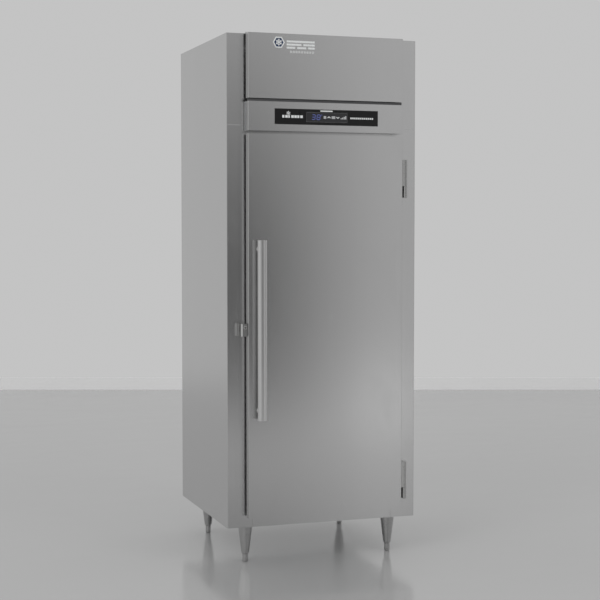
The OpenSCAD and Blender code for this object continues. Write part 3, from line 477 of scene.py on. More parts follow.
class Build:
    """Collects closed shapes into the mesh of one piece."""

    def __init__(self):
        self.bm = bmesh.new()

    def grid(self, rows, wrap_rows=False):
        """Skins rows of points that all have the same length; each row closes on itself."""
        made = [[self.bm.verts.new(point) for point in row] for row in rows]
        count, size = len(made), len(made[0])
        for i in range(count if wrap_rows else count - 1):
            for k in range(size):
                a, b = made[i], made[(i + 1) % count]
                self.bm.faces.new((a[k], a[(k + 1) % size], b[(k + 1) % size], b[k]))
        return made

    def skin(self, rows):
        """A closed body through rows of points, with its ends capped."""
        made = self.grid(rows)
        self.bm.faces.new(made[0])
        self.bm.faces.new(made[-1])

    def block(self, low, high):
        x0, y0, z0 = low
        x1, y1, z1 = high
        self.skin([[Vector((x, y, z)) for x, y in ((x0, y0), (x1, y0), (x1, y1), (x0, y1))]
                   for z in (z0, z1)])

    def prism(self, outline, origin, u, v, depth):
        """A flat outline in the directions u and v, drawn out along depth."""
        origin = Vector(origin)
        base = [origin + u * a + v * b for a, b in outline]
        self.skin([base, [point + depth for point in base]])

    def lathe(self, profile, origin, axis, steps=24):
        """A turned body: (radius, height) pairs from end to end, with its ends capped."""
        origin = Vector(origin)
        u, v = across(axis)
        spokes = [tau * k / steps for k in range(steps)]
        self.skin([[origin + axis * h + (u * cos(a) + v * sin(a)) * max(r, 0.01)
                    for a in spokes] for r, h in profile])

    def hoop(self, profile, origin, axis, steps=32):
        """A turned ring with a closed profile."""
        origin = Vector(origin)
        u, v = across(axis)
        rows = []
        for k in range(steps):
            out = u * cos(tau * k / steps) + v * sin(tau * k / steps)
            rows.append([origin + axis * h + out * r for r, h in profile])
        self.grid(rows, wrap_rows=True)

    def tube(self, points, radius, sides=8, closed=False):
        points = [Vector(p) for p in points]
        count = len(points)
        rows, side = [], None
        for i, point in enumerate(points):
            before = points[i - 1] if i or closed else point
            after = points[(i + 1) % count] if i < count - 1 or closed else point
            along = (after - before).normalized()
            side = across(along)[0] if side is None else (side - along * side.dot(along)).normalized()
            up = along.cross(side)
            rows.append([point + (side * cos(tau * k / sides)
                                  + up * sin(tau * k / sides)) * radius
                         for k in range(sides)])
        if closed:
            self.grid(rows, wrap_rows=True)
        else:
            self.skin(rows)

    def border(self, profile, half, z0, z1):
        """A profile of (inset, y) pairs run round an upright rectangle, mitred at its corners."""
        rows = []
        for sx, sz in ((-1, 0), (1, 0), (1, 1), (-1, 1)):
            rows.append([Vector((sx * (half - d), y, z0 + d if sz == 0 else z1 - d))
                         for d, y in profile])
        self.grid(rows, wrap_rows=True)

    def screw(self, place, axis, r=4.0):
        """A dished pan head."""
        self.lathe(((0.01, 0.25 * r), (0.32 * r, 0.25 * r), (0.40 * r, 0.58 * r), (0.72 * r, 0.55 * r),
                    (0.93 * r, 0.35 * r), (r, 0.08 * r), (r, -0.1 * r), (0.01, -0.1 * r)),
                   place, axis, 14)

    def screws(self, xs, ys, zs, axis, r):
        """A screw at every crossing of the given values."""
        for x in xs:
            for y in ys:
                for z in zs:
                    self.screw((x, y, z), axis, r)

    def bolt(self, place, axis, r=6.0):
        """A hexagon head on its washer."""
        self.lathe(((0.01, 0.0), (1.5 * r, 0.0), (1.5 * r, 0.14 * r), (1.44 * r, 0.2 * r),
                    (0.01, 0.2 * r)), place, axis, 20)
        self.lathe(((0.01, 0.19 * r), (r, 0.19 * r), (r, 0.75 * r), (0.86 * r, 0.9 * r),
                    (0.01, 0.9 * r)), place, axis, 6)

    def done(self, name, slot="clip_metal", body="cabinet", material=None, smooth=True, soft=0.0):
        """Makes the piece; soft is the width of its bevel."""
        bmesh.ops.scale(self.bm, vec=(MM, MM, MM), verts=self.bm.verts)
        bmesh.ops.recalc_face_normals(self.bm, faces=self.bm.faces)
        made = make_object(name, self.bm, material or SLOTS[slot])
        if smooth:
            made.data.shade_smooth()
            made.data.set_sharp_from_angle(angle=SHARP_ANGLE)
        if soft:
            soften(made, soft)
        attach(made, body)
        return made


# ---- hood: badge, stiffener, rest strip and catches

BARB_ANGLE = radians(55)
BAR_STEP = 0.02


def flake_bars(radius, width):
    """A plain six-armed snowflake, as bars (centre, angle, length, width)."""
    bars = [((0, 0), pi * k / 3 + pi / 2, 2 * radius, width) for k in range(3)]
    start, reach = 0.52 * radius, 0.36 * radius
    for k in range(6):
        a = pi * k / 3 + pi / 2
        for b in (a - BARB_ANGLE, a + BARB_ANGLE):
            centre = (start * cos(a) + reach / 2 * cos(b), start * sin(a) + reach / 2 * sin(b))
            bars.append((centre, b, reach, width * 0.9))
    return bars


def add_bars(build, origin, bars, depth):
    """Bars that cross, each a little deeper than the last, so that no two faces coincide."""
    for k, (centre, angle, length, width) in enumerate(bars):
        along = Vector((cos(angle), sin(angle))) * length / 2
        over = Vector((-sin(angle), cos(angle))) * width / 2
        outline = [Vector(centre) + along * s + over * t for s, t in ((-1, -1), (1, -1), (1, 1), (-1, 1))]
        build.prism(outline, origin, X, Z, -Y * (depth + BAR_STEP * k))


def add_dash(build, x, width, z0, z1, y, depth):
    """A printed dash with clipped corners."""
    c, x1 = min(0.8, (z1 - z0) / 3), x + width
    outline = [(x + c, z0), (x1 - c, z0), (x1, z0 + c), (x1, z1 - c), (x1 - c, z1), (x + c, z1),
               (x, z1 - c), (x, z0 + c)]
    build.prism(outline, (0, y, 0), X, Z, -Y * depth)


hood_low, hood_high = box_mm("hood_panel")
fascia_low, fascia_high = box_mm("control_fascia")
PANEL_Y, HALF = fascia_low.y, -fascia_low.x
BADGE = Vector((-203, PANEL_Y, hood_high.z - 40))
BADGE_INK = 0.4
WHITE_INK = printed("white_ink", (0.86, 0.88, 0.88))

rim = Build()
rim.hoop(((25, 0), (25, 1.6), (24, 2.4), (20.2, 2.4), (19.4, 1.4), (19.4, 0)), BADGE, -Y, 6)
rim.done("hood_badge_rim", "lamp_plastic", "hood", WHITE_INK)
field = Build()
field.lathe(((0, 0), (19.6, 0), (19.6, 1.1), (16, 1.5), (0, 1.7)), BADGE, -Y, 6)
field.done("hood_badge_field", "label_film", "hood", printed("badge_enamel", (0.012, 0.035, 0.10), 0.25))
flake = Build()
add_bars(flake, BADGE - Y * 1.3, flake_bars(13.5, 3.0), 0.8)
flake.done("hood_badge_flake", "lamp_plastic", "hood", WHITE_INK)
bars = Build()
for row, stops in enumerate(((-170, -52), (-170, -108, -100, -52), (-170, -134, -126, -88, -80, -52))):
    z = hood_high.z - 31 - row * 12.2
    for x0, x1 in zip(stops[::2], stops[1::2]):
        add_dash(bars, x0, x1 - x0, z - 7.6, z, PANEL_Y, BADGE_INK)
bars.done("hood_badge_bars", "lamp_plastic", "hood", WHITE_INK)
dashes = Build()
for x in run(-156, 11.5, 9):
    add_dash(dashes, x, 9.2, hood_high.z - 80, hood_high.z - 71, PANEL_Y, BADGE_INK)
dashes.done("hood_badge_dashes", "lamp_plastic", "hood", printed("pale_ink", (0.62, 0.63, 0.63)))

rib = Build()
rib_y = PANEL_Y + 1.1
RIB_OUTLINE = [(0, 0), (9, 0), (9, -1), (13, 8), (21, 8), (25, -1), (25, 0), (34, 0), (34, 1), (24, 1),
               (21, 9), (13, 9), (10, 1), (0, 1)]
for z in (hood_low.z + 70, hood_high.z - 90):
    rib.prism(RIB_OUTLINE, (-HALF + 14, rib_y, z), Z, Y, X * (2 * HALF - 28))
    rib.screws((-HALF + 24, HALF - 24), (rib_y + 9,), (z + 17,), Y, 3.2)
rib.done("hood_stiffener", "galvanised", "hood", soft=0.0003)
rest = Build()
y0, y1, z0, z1 = PANEL_Y + 6, PANEL_Y + 22, fascia_high.z, hood_low.z - 1.2
rest.prism([(y0, z0), (y0, z1 - 1.8), (y0 + 2, z1), (y1 - 2, z1), (y1, z1 - 1.8), (y1, z0)],
           (-HALF + 3, 0, 0), Y, Z, X * (2 * HALF - 6))
rest.done("hood_rest_strip", "gasket_rubber")
stay = Build()
y, z = PANEL_Y + 2, hood_low.z + 20
for x in (-HALF + 10, HALF - 10):
    stay.block((x - 6, y, z), (x + 6, y + 1.2, z + 42))
    stay.block((x - 6, y, z), (x + 6, y + 16, z + 1.4))
    stay.screw((x, y + 1.2, z + 30), Y, 3)
stay.done("hood_catches", "galvanised", "hood", soft=0.0003)


# ---- control label, display and keys

label_low, label_high = box_mm("control_label")
lens_low, lens_high = box_mm("display_lens")
LABEL_Y, LENS_Y = label_low.y, lens_low.y
MID_Z = (label_low.z + label_high.z) / 2
LABEL_INK, LENS_INK = 0.15, 0.12

prints = Build()
add_bars(prints, (-163, LABEL_Y, MID_Z + 13), flake_bars(9.0, 1.5), LABEL_INK)
for x, width in zip(run(-189, 12.6, 7), (9, 10.8, 7, 10.8, 10.8, 9, 10.8)):
    add_dash(prints, x, width, MID_Z - 5, MID_Z + 5.5, LABEL_Y, LABEL_INK)
add_dash(prints, -28, 52, MID_Z + 22.5, MID_Z + 27.5, LABEL_Y, LABEL_INK)
for x in run(100, 8.4, 12):
    add_dash(prints, x, 6.2, MID_Z - 4.5, MID_Z + 2.5, LABEL_Y, LABEL_INK)
prints.done("label_prints", "lamp_plastic", "cabinet", WHITE_INK)

edge = Build()
LINE = 0.8
x0, x1, z0, z1 = lens_low.x + 1, lens_high.x - 1, lens_low.z + LINE, lens_high.z - LINE
for left, right, bottom, top in ((x0, x1, z1 - LINE, z1), (x0, x1, z0, z0 + LINE),
                                 (x0, x0 + LINE, z0 + LINE, z1 - LINE),
                                 (x1 - LINE, x1, z0 + LINE, z1 - LINE)):
    edge.block((left, LENS_Y - LENS_INK, bottom), (right, LENS_Y + 0.05, top))
edge.done("display_edge_line", "lamp_plastic", "cabinet", printed("dim_ink", (0.10, 0.10, 0.105)))

DIGIT_W, DIGIT_H, STROKE, SLANT = 13.0, 19.0, 2.6, 0.12
STROKES = {"a": (0, 0.5, False), "g": (0, 0, False), "d": (0, -0.5, False), "b": (0.5, 0.25, True),
           "c": (0.5, -0.25, True), "f": (-0.5, 0.25, True), "e": (-0.5, -0.25, True)}
digits = Build()
for digit_x, lit in ((-57, "abgcd"), (-36, "abcdefg")):
    for key in lit:
        u, v, upright = STROKES[key]
        half, point = ((DIGIT_H / 2 if upright else DIGIT_W) - 0.8) / 2, STROKE / 2
        shape = [(-half, 0), (-half + point, point), (half - point, point), (half, 0),
                 (half - point, -point), (-half + point, -point)]
        if upright:
            shape = [(-b, a) for a, b in shape]
        shape = [(a, v * DIGIT_H + b) for a, b in shape]
        digits.prism([(digit_x + u * DIGIT_W + a + SLANT * b, b) for a, b in shape],
                     (0, LENS_Y, MID_Z), X, Z, -Y * LABEL_INK)
digits.hoop(((2.6, 0), (2.6, LABEL_INK), (1.7, LABEL_INK), (1.7, 0)), (-23, LENS_Y, MID_Z + 8), -Y, 16)
digits.done("display_digits", "lamp_plastic", "cabinet",
            glowing("digit_glow", (0.05, 0.06, 0.16), (0.10, 0.13, 0.42), 0.55))

for node, body, lean in (("up_key", "key_up", 1), ("down_key", "key_down", -1)):
    centre = middle(node)
    mark = Build()
    add_bars(mark, (centre.x, box_mm(node)[0].y, centre.z),
             [((side * 2.9, 0.4 * lean), -side * lean * radians(38), 8.0, 3.2) for side in (-1, 1)],
             LABEL_INK)
    mark.done(node + "_mark", "lamp_plastic", body, WHITE_INK)
levels = Build()
for k, x in enumerate(run(58, 6.6, 4)):
    add_dash(levels, x, 4.8, MID_Z - 6, MID_Z - 2 + 3 * k, LENS_Y, LENS_INK)
for x, width in [(x, 4.2) for x in run(20, 5.5, 3)] + [(x, 4.6) for x in run(-14, 6, 2)]:
    add_dash(levels, x, width, MID_Z - 5.5, MID_Z + 5.5, LENS_Y, LENS_INK)
levels.done("display_level_marks", "lamp_plastic", "cabinet", printed("grey_ink", (0.62, 0.63, 0.64)))

case = Build()
case_y = box_mm("up_key")[1].y + 1.2
terminals = run(-30, 22, 5)
case.block((-42, case_y + 1.5, MID_Z - 22), (84, case_y + 26, MID_Z + 22))
case.block((-47, case_y, MID_Z - 26), (89, case_y + 1.6, MID_Z + 26))
for x in run(-36, 14, 9):
    case.block((x, case_y + 25.9, MID_Z - 17), (x + 7, case_y + 27, MID_Z + 2))
for x in terminals:
    case.block((x, case_y + 10, MID_Z + 21.8), (x + 14, case_y + 20, MID_Z + 25))
case.done("controller_case", "key_rubber", soft=0.0004)
case_screws = Build()
for dx in (4, 10):
    case_screws.screws([x + dx for x in terminals], (case_y + 15,), (MID_Z + 25,), Z, 1.7)
case_screws.screws((-43.5, 85.5), (case_y + 1.6,), (MID_Z - 20, MID_Z + 20), Y, 2.2)
case_screws.done("controller_screws")


# ---- door: gasket, liner screws, lock and hinges

low, high = box_mm("door_gasket")
y0, y1 = low.y, high.y
BELLOWS_OUT = ((1.2, 0.28), (3.2, 0.34), (3.2, 0.40), (0.8, 0.46), (0.6, 0.52), (3.0, 0.58), (3.0, 0.63),
               (0.9, 0.70))
CROWN = ((0.9, 1.2), (2.2, 0), (7.5, 0), (8.5, 0.8), (12.5, 0.8), (13.5, 0), (18.0, 0), (20.5, 1.4))
BELLOWS_IN = ((20.5, 0.70), (17.2, 0.64), (17.2, 0.56), (19.6, 0.48), (17.0, 0.38))
profile = ([(0, y0), (0, y0 + 1.6), (1.2, y0 + 2.4)]
           + [(d, y0 + share * (y1 - y0)) for d, share in BELLOWS_OUT]
           + [(d, y1 - drop) for d, drop in CROWN]
           + [(d, y0 + share * (y1 - y0)) for d, share in BELLOWS_IN]
           + [(17.0, y0 + 2.4), (24.0, y0 + 1.4), (24.0, y0)])
gasket = Build()
gasket.border(profile, high.x, low.z, high.z)
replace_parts(gasket.done("gasket_bellows", "gasket_rubber", "door"), "door_gasket")

low, high = box_mm("door_liner")
liner_screws = Build()
liner_screws.screws((7 - high.x, high.x - 7), (y0,), spread(low.z + 30, high.z - 30, 9), Y, 2.6)
liner_screws.screws(run(-240, 120, 5), (y0,), (high.z - 5,), Y, 2.6)
liner_screws.done("door_liner_screws", body="door")

low, high = box_mm("lock_housing")
centre = middle("lock_cylinder")
trim = Build()
trim.hoop(((4.75, 0), (4.75, 0.9), (5.4, 1.3), (6.8, 0.9), (7.4, 0)), (centre.x, low.y, centre.z), -Y, 28)
trim.screws((low.x + 8,), (high.y - 20,), (low.z + 9, high.z - 9), -Y, 3.4)
trim.done("lock_trim", "lock_metal")
corner = Build()
corner.prism([(0.2, 17), (-5.4, 17), (-6.2, 16), (-6.2, 3), (-1.2, 0.1), (0.2, 0.1)],
             (high.x - 20, low.y, low.z + 0.4), X, Y, Z * (high.z - low.z - 0.8))
corner.done("lock_edge_trim", "lock_metal", smooth=False)

DOOR_KNUCKLE_TOP, BUSH_UP = 153, 46
frame_low, frame_high = box_mm("hinge_frame_leaves")
leaf_low, leaf_high = box_mm("door_hinge_leaves")
pin = middle("hinge_pins")
hinge_rise = leaf_high.z - leaf_low.z - 106.7
on_frame, on_door, bush = Build(), Build(), Build()
for z in (frame_low.z, frame_low.z + hinge_rise):
    foot = Vector((pin.x, pin.y, z))
    on_frame.lathe(((0, -1.6), (6.6, -1.6), (8.2, -0.9), (8.6, 0.05), (0, 0.05)), foot, Z, 24)
    on_frame.screws((pin.x,), (frame_high.y - 2.5,), (z + 70, z + 128), -Y, 4.0)
    on_door.lathe(((0, -0.05), (8.6, -0.05), (8.2, 0.9), (6.6, 1.7), (0, 1.7)),
                  foot + Z * DOOR_KNUCKLE_TOP, Z, 24)
    on_door.screws((pin.x - 7.5,), (PANEL_Y + 1,), (z + 64, z + 100, z + 136), -Y, 2.6)
    bush.hoop(((4.05, 0), (4.05, 0.28), (8.7, 0.28), (8.7, 0)), foot + Z * BUSH_UP, Z, 24)
on_frame.done("hinge_frame_caps")
on_door.done("hinge_door_caps", body="door")
bush.done("hinge_bushes", "gasket_rubber")

low, high = box_mm("door_handle")
STANDOFF_INSET = 36
rosettes = Build()
for z in (low.z + STANDOFF_INSET, high.z - STANDOFF_INSET):
    rosettes.hoop(((8.05, 0), (8.05, 1.6), (9.6, 2.4), (12.6, 1.2), (13.4, 0)),
                  (middle("door_handle").x, PANEL_Y, z), -Y, 28)
rosettes.done("handle_rosettes", "handle_steel", "door")


# ---- legs and feet

flanges = Build()
for name in ("front_left", "front_right", "back_left", "back_right"):
    low, high = box_mm(name + "_leg")
    leg = middle(name + "_leg")
    r = high.x - leg.x
    flanges.hoop(((r + 0.1, -3), (r + 0.1, 0), (r + 6, 0), (r + 6, -1.4), (r + 3, -3)),
                 (leg.x, leg.y, high.z), Z, 36)
    r = box_mm(name + "_foot")[1].x - middle(name + "_foot").x
    rings = Build()
    for bulge, tall, z in ((0.9, 3.0, low.z - 6.5), (0.5, 1.6, 8.5)):
        chamfer = 0.6 if tall > 2 else 0.4
        rings.hoop(((r + 0.05, 0), (r + bulge, chamfer), (r + bulge, tall - (0.8 if tall > 2 else 0.4)),
                    (r + 0.05, tall)), (leg.x, leg.y, z), Z, 28)
    rings.done(name + "_foot_rings", "leg_steel", "foot_" + name)
flanges.done("leg_flanges", "leg_steel")


# ---- fans with twisted blades

BLADES, SPANS, CHORDS, BLADE_T = 5, 9, 8, 0.9


def fan(name, node, body, hub_r, tip_r, depth, chord, hand):
    centre, half = middle(node), depth / 2
    build = Build()
    build.lathe(((0, -half), (hub_r * 0.86, -half), (hub_r, -half + 2), (hub_r, half - 3),
                 (hub_r * 0.9, half - 0.8), (hub_r * 0.5, half), (0, half)), centre, Y, 36)
    for k in range(3):
        nub = around(centre, hub_r * 0.45, tau * k / 3)
        build.block(nub + Vector((-1.5, -half - 1.5, -1.5)), nub + Vector((1.5, -half + 0.5, 1.5)))
    for b in range(BLADES):
        rows = []
        for i in range(SPANS + 1):
            s = i / SPANS
            r = hub_r - 2 + (tip_r - hub_r + 2) * s
            arc = radians(chord) * (0.72 + 0.28 * sin(pi * min(1, s * 0.9 + 0.1)))
            rise = min(arc * r * tan(radians(46 - 24 * s)) * 0.55, depth * 1.3)
            middle_angle = tau * b / BLADES + radians(16) * s * s
            loop = []
            for face in (1, -1):
                for k in range(CHORDS + 1):
                    t = (k / CHORDS - 0.5) * face
                    bow = 1 - 4 * t * t
                    y = hand * t * rise + 2.6 * bow + face * BLADE_T * (0.3 + 0.7 * sqrt(max(0, bow)))
                    loop.append(around(centre + Y * y, r, middle_angle + t * arc))
            rows.append(loop)
        build.skin(rows)
    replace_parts(build.done(name, "fan_plastic", body), node)


fan("evaporator_fan_wheel", "evaporator_fan", "evaporator_rotor", 17, 56, 14, 50, 1)
fan("condenser_fan_wheel", "condenser_fan", "condenser_rotor", 30, 118, 26, 54, -1)


# ---- coils: fins, end plates and tube runs

BEND_STEPS, BEND_REACH = 6, 14.0


def bend(a, b, out):
    """Half-round run from a to b, bulging in the direction out."""
    centre, radius = (a + b) / 2, (b - a).length / 2
    u = (a - b).normalized()
    return [centre + u * radius * cos(t) + out * min(radius, BEND_REACH) * sin(t)
            for t in run(pi / BEND_STEPS, pi / BEND_STEPS, BEND_STEPS - 1)]


def coil(name, inset, levels, ys, pitch, order):
    """Finned coil; order gives the two columns that the tube takes at each level, from the top."""
    (x0, y0, z0), (x1, y1, z1) = box_mm(name + "_coil")
    x0, x1 = x0 + inset, x1 - inset
    fins = Build()
    for x in pitched(x0 + 2, x1 - 2, pitch):
        fins.block((x, y0 + 2, z0 + 1), (x + 0.4, y1 - 2, z1 - 1))
    for x in (x0, x1 - 1.4):
        fins.block((x, y0, z0), (x + 1.4, y1, z1))
    for y in (y0, y1 - 1.2):
        fins.block((x0 - 9, y, z0), (x0 + 0.2, y + 1.2, z1))
        fins.block((x1 - 0.2, y, z0), (x1 + 9, y + 1.2, z1))
    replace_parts(fins.done(name + "_fins", "coil_fins", smooth=False), name + "_coil")
    path, at_right = [], True
    for level, columns in zip(levels[::-1], order.split()):
        for column in columns:
            near, far = (x1 + 2, x0 - 2) if at_right else (x0 - 2, x1 + 2)
            start, end = (Vector((x, ys[int(column)], z0 + level)) for x in (near, far))
            if path:
                path += bend(path[-1], start, X if at_right else -X)
            path += [start, end]
            at_right = not at_right
    path[0] = path[0] + X * 12
    path[-1] = path[-1] + X * 12
    tubes = Build()
    tubes.tube(path, 4.6, 10)
    tubes.done(name + "_tubes", "copper_tube")


low, high = box_mm("condenser_coil")
coil("condenser", 15, run(28, 40, 7), (low.y + 18, high.y - 18), 3.4, "10 01 10 01 10 01 01")
low, high = box_mm("evaporator_coil")
coil("evaporator", 19, run(20, 30, 4), (low.y + 22, low.y + 66), 4.2, "10 01 10 01")


# ---- compartment: evaporator, lamp, liner

low, high = box_mm("evaporator_housing")
fan_centre = middle("evaporator_fan")
face = Vector((fan_centre.x, low.y, fan_centre.z))
guard = Build()
for r in (10, 20, 30, 40, 50, 60, 68):
    guard.tube([around(face - Y * 3.2, r, tau * k / 40) for k in range(40)], 0.9, 6, closed=True)
for a in run(tau / 8, tau / 4, 4):
    guard.tube([around(face - Y * 1.6, r, a) for r in (8, 40, 72)], 1.3, 6)
    guard.screw(around(face, 73, a), -Y, 3.6)
guard.done("evaporator_fan_guard")
casing_screws = Build()
casing_screws.screws((low.x + 12, high.x - 12), (low.y,), (low.z + 14, high.z - 16), -Y, 3.4)
for x, out in ((low.x, -X), (high.x, X)):
    casing_screws.screws((x,), (low.y + 30, (low.y + high.y) / 2, high.y - 30),
                         (low.z + 12, high.z - 12), out, 3.0)
casing_screws.done("evaporator_screws")
drain = Build()
spout = Vector((low.x + 60, high.y - 40, low.z))
drain.tube([spout + Y * y + Z * z for y, z in ((0, 0.2), (0, -16), (10, -26), (28, -30), (47.5, -31))],
           8, 14)
drain.hoop(((8, 0), (11.5, 0), (11.5, -3), (8, -3)), spout, Z, 24)
drain.done("evaporator_drain", "breaker_plastic")

low, high = box_mm("interior_lamp")
mid_y = (low.y + high.y) / 2
ribs = Build()
for x in spread(low.x + 14, high.x - 14, 28):
    ribs.tube([(x, mid_y + 12.1 * cos(a), high.z - 7.4 - 12.1 * sin(a)) for a in run(pi / 18, pi / 9, 9)],
              0.7, 5)
ribs.done("lamp_lens_ribs", "lamp_plastic")
lamp_screws = Build()
lamp_screws.screws((low.x + 3.2, high.x - 3.2), (mid_y + 8, mid_y - 8), (high.z - 7.9,), -Z, 2.6)
lamp_screws.done("lamp_screws")

low, high = box_mm("shelf_pilasters")
pilaster_screws = Build()
for x, out in ((low.x + 6, X), (high.x - 6, -X)):
    pilaster_screws.screws((x,), (low.y + 11, high.y - 11),
                           (low.z + 8, (low.z + high.z) / 2 + 3, high.z - 8), out, 3.2)
pilaster_screws.done("pilaster_screws")

floor_z, ceiling_z = box_mm("liner_floor")[1].z, box_mm("liner_ceiling")[0].z
side_x = box_mm("liner_right")[0].x
back_in, front_in = box_mm("liner_back")[0].y, box_mm("liner_left")[0].y
COVE_R = 14
quarter = [(0, 0)] + [(COVE_R * (1 - sin(a)), COVE_R * (1 - cos(a))) for a in run(0, pi / 12, 7)]
cove = Build()
for s in (-1, 1):
    cove.prism([(s * -a, b) for a, b in quarter], (s * side_x, front_in + 1, floor_z), X, Z,
               Y * (back_in - front_in - 1))
    cove.prism([(s * -a, -b) for a, b in quarter], (s * side_x, back_in, floor_z), X, Y,
               Z * (ceiling_z - floor_z))
cove.prism([(-a, b) for a, b in quarter], (-side_x, back_in, floor_z), Y, Z, X * 2 * side_x)
cove.done("liner_coves", "liner_metal")
hole = Build()
hole_centre = Vector((0, 40, floor_z))
hole.hoop(((9, 0.2), (9, 1.4), (12, 2.2), (19, 1), (20, 0)), hole_centre, Z, 32)
for a in run(0, pi / 6, 6):
    arm = (X * cos(a) + Y * sin(a)) * 9.5
    hole.tube([hole_centre + Z * 0.9 + arm, hole_centre + Z * 0.9 - arm], 0.8, 6)
hole.done("floor_drain_rim")

low, high = box_mm("breaker_frame")
breaker_screws = Build()
breaker_screws.screws((5 - high.x, high.x - 5), (low.y,), spread(low.z + 90, high.z - 90, 7), -Y, 2.0)
breaker_screws.done("breaker_screws")


# ---- condensing unit

low, high = box_mm("condenser_fan_shroud")
shaft = middle("condenser_fan_shroud")
lip = Build()
lip.hoop(((125.8, 0), (125.8, 2.2), (130.5, 2.2), (132, 0.6), (132, 0)),
         (shaft.x, high.y - 2, shaft.z), Y, 64)
lip.screws((low.x + 12, high.x - 12), (high.y - 10,), (low.z + 20, shaft.z, high.z - 20), Y, 4)
lip.done("shroud_lip", "galvanised")

motor_end = Vector((shaft.x, box_mm("condenser_fan_motor")[1].y, shaft.z))
motor = Build()
for r0, r1, dy in ((10, 13, 1.2), (26, 29, 1.2), (36, 41.5, 2)):
    motor.hoop(((r0, 0), (r0, dy), (r1, dy), (r1, 0)), motor_end, Y, 40)
for a in run(0, tau / 16, 16):
    motor.prism([(41.5, -2.2), (43.6, -2.2), (43.6, 2.2), (41.5, 2.2)], motor_end - Y * 54,
                X * cos(a) + Z * sin(a), Z * cos(a) - X * sin(a), Y * 46)
for a in run(tau / 8, tau / 4, 4):
    motor.bolt(around(motor_end, 33, a), Y, 3.2)
motor.done("condenser_motor_ribs", "motor_black")

motor_end = Vector((fan_centre.x, box_mm("evaporator_fan_motor")[1].y, fan_centre.z))
motor = Build()
for dy in run(16, 8, 5):
    motor.hoop(((27.8, 0), (29.4, 0.4), (29.4, 2.6), (27.8, 3)), motor_end - Y * dy, Y, 36)
motor.lathe(((0, 0), (12, 0), (11, 2.4), (4, 3.4), (0, 3.4)), motor_end - Y * 0.1, Y, 28)
motor.done("evaporator_motor_ribs", "motor_black")

WIRE_R, WIRE_PITCH = 0.5, 7.2
low, high = box_mm("air_filter")
mesh = Build()
y = low.y + 2.2
for x in pitched(low.x + 10, high.x - 8, WIRE_PITCH):
    mesh.tube([(x, y, low.z + 9), (x, y, high.z - 8)], WIRE_R, 4)
for z in pitched(low.z + 12, high.z - 8, WIRE_PITCH):
    mesh.tube([(low.x + 8, y + 0.7, z), (high.x - 8, y + 0.7, z)], WIRE_R, 4)
mesh.done("filter_wire_mesh", "filter_mesh")
grip = Build()
arm = [(-34, 1, -30), (-34, -9, -26), (-30, -12, -24)]
top_edge = Vector((shaft.x, low.y, high.z))
grip.tube([top_edge + Vector(p) for p in arm + [(-x, y, z) for x, y, z in reversed(arm)]], 2.2, 10)
grip.done("filter_grip")

low, high = box_mm("compressor")
can = Vector((low.x + 92, (low.y + high.y) / 2, low.z))
grommets, bolts = Build(), Build()
for sx in (-1, 1):
    for sy in (-1, 1):
        foot = can + Vector((sx * 80, sy * 62, 0))
        grommets.hoop(((4.6, 0.4), (13.2, 0.4), (14, 3.4), (11.6, 6), (14, 8.6), (13.2, 11.6),
                       (4.6, 11.6)), foot, Z, 26)
        bolts.bolt(foot + Z * 24, Z, 6.2)
bolts.screw((high.x, can.y, can.z + 77), X, 3.6)
grommets.done("compressor_grommets", "gasket_rubber")
bolts.done("compressor_bolts")
cover = Build()
for dz in (57, 64.5, 72, 87, 94.5):
    cover.block((high.x - 0.1, can.y - 18, can.z + dz - 1.2), (high.x + 1, can.y + 18, can.z + dz + 1.2))
cover.hoop(((5.2, 0), (5.2, 7), (7.6, 7), (9, 4), (9, 0)), (high.x - 14, can.y, can.z + 104), Z, 20)
cover.done("compressor_cover_ribs", "motor_black")
plate = Build()
plate.skin([[can + Vector((r * cos(a), r * sin(a), z)) for r, z in ((82, 70), (83, 70), (83, 108), (82, 108))]
            for a in map(radians, range(244, 297, 4))])
plate.done("compressor_blank_plate")
stub = Build()
stub.tube([can + Vector(p) for p in ((-40, -46, 188), (-44, -50, 206), (-44, -50, 236))], 3.6, 10)
stub.lathe(((3.6, 0), (4.6, 1), (4.6, 5), (1.6, 9), (0.4, 12)), can + Vector((-44, -50, 235)), Z, 16)
stub.done("compressor_process_tube", "copper_tube")

low, high = box_mm("electrical_box")
tray_low, tray_high = box_mm("unit_tray")
lid_screws = Build()
lid_screws.screws((low.x + 9, high.x - 9), (low.y + 9, low.y + 87), (high.z,), Z, 3.4)
lid_screws.done("box_screws")
gland = Vector((-240, low.y + 96.2, tray_low.z + 62))
nut = Build()
nut.hoop(((15.1, 0), (20.5, 0), (20.5, 6), (15.1, 7)), gland, Y, 6)
nut.hoop(((15.1, 26.5), (18.8, 26.5), (18, 31), (15.1, 32)), gland - Y * 9, Y, 24)
nut.done("gland_nut", "key_rubber")
slats = Build()
for x in run(low.x + 24, 22, 7):
    slats.block((x, low.y + 5.2, low.z + 20), (x + 8, low.y + 6.4, low.z + 100))
slats.done("box_louvres", "box_paint", soft=0.0003)
conduit = Build()
y, z, lying_z = low.y + 50, low.z + 40, tray_low.z + 12
conduit.tube([(high.x - 8, y, z), (high.x + 40, y, z), (high.x + 60, y, z - 12), (high.x + 76, y, lying_z),
              (can.x - 130, y, lying_z)], 7.0, 14)
conduit.hoop(((7, 0), (11.5, 0), (11.5, 7), (7, 7)), (high.x - 6.2, y, z), X, 6)
for x in (high.x + 110, can.x - 160):
    conduit.hoop(((7.1, -5), (8.4, -5), (8.4, 5), (7.1, 5)), (x, y, lying_z), X, 24)
conduit.done("unit_conduit", "galvanised")

tray = Build()
for x in (tray_low.x + 26, tray_high.x - 26):
    for y in (tray_low.y + 26, tray_high.y - 26):
        tray.bolt((x, y, tray_low.z + 2), Z, 5.0)
tray.done("tray_bolts")


# ---- back, top, underside and stiles

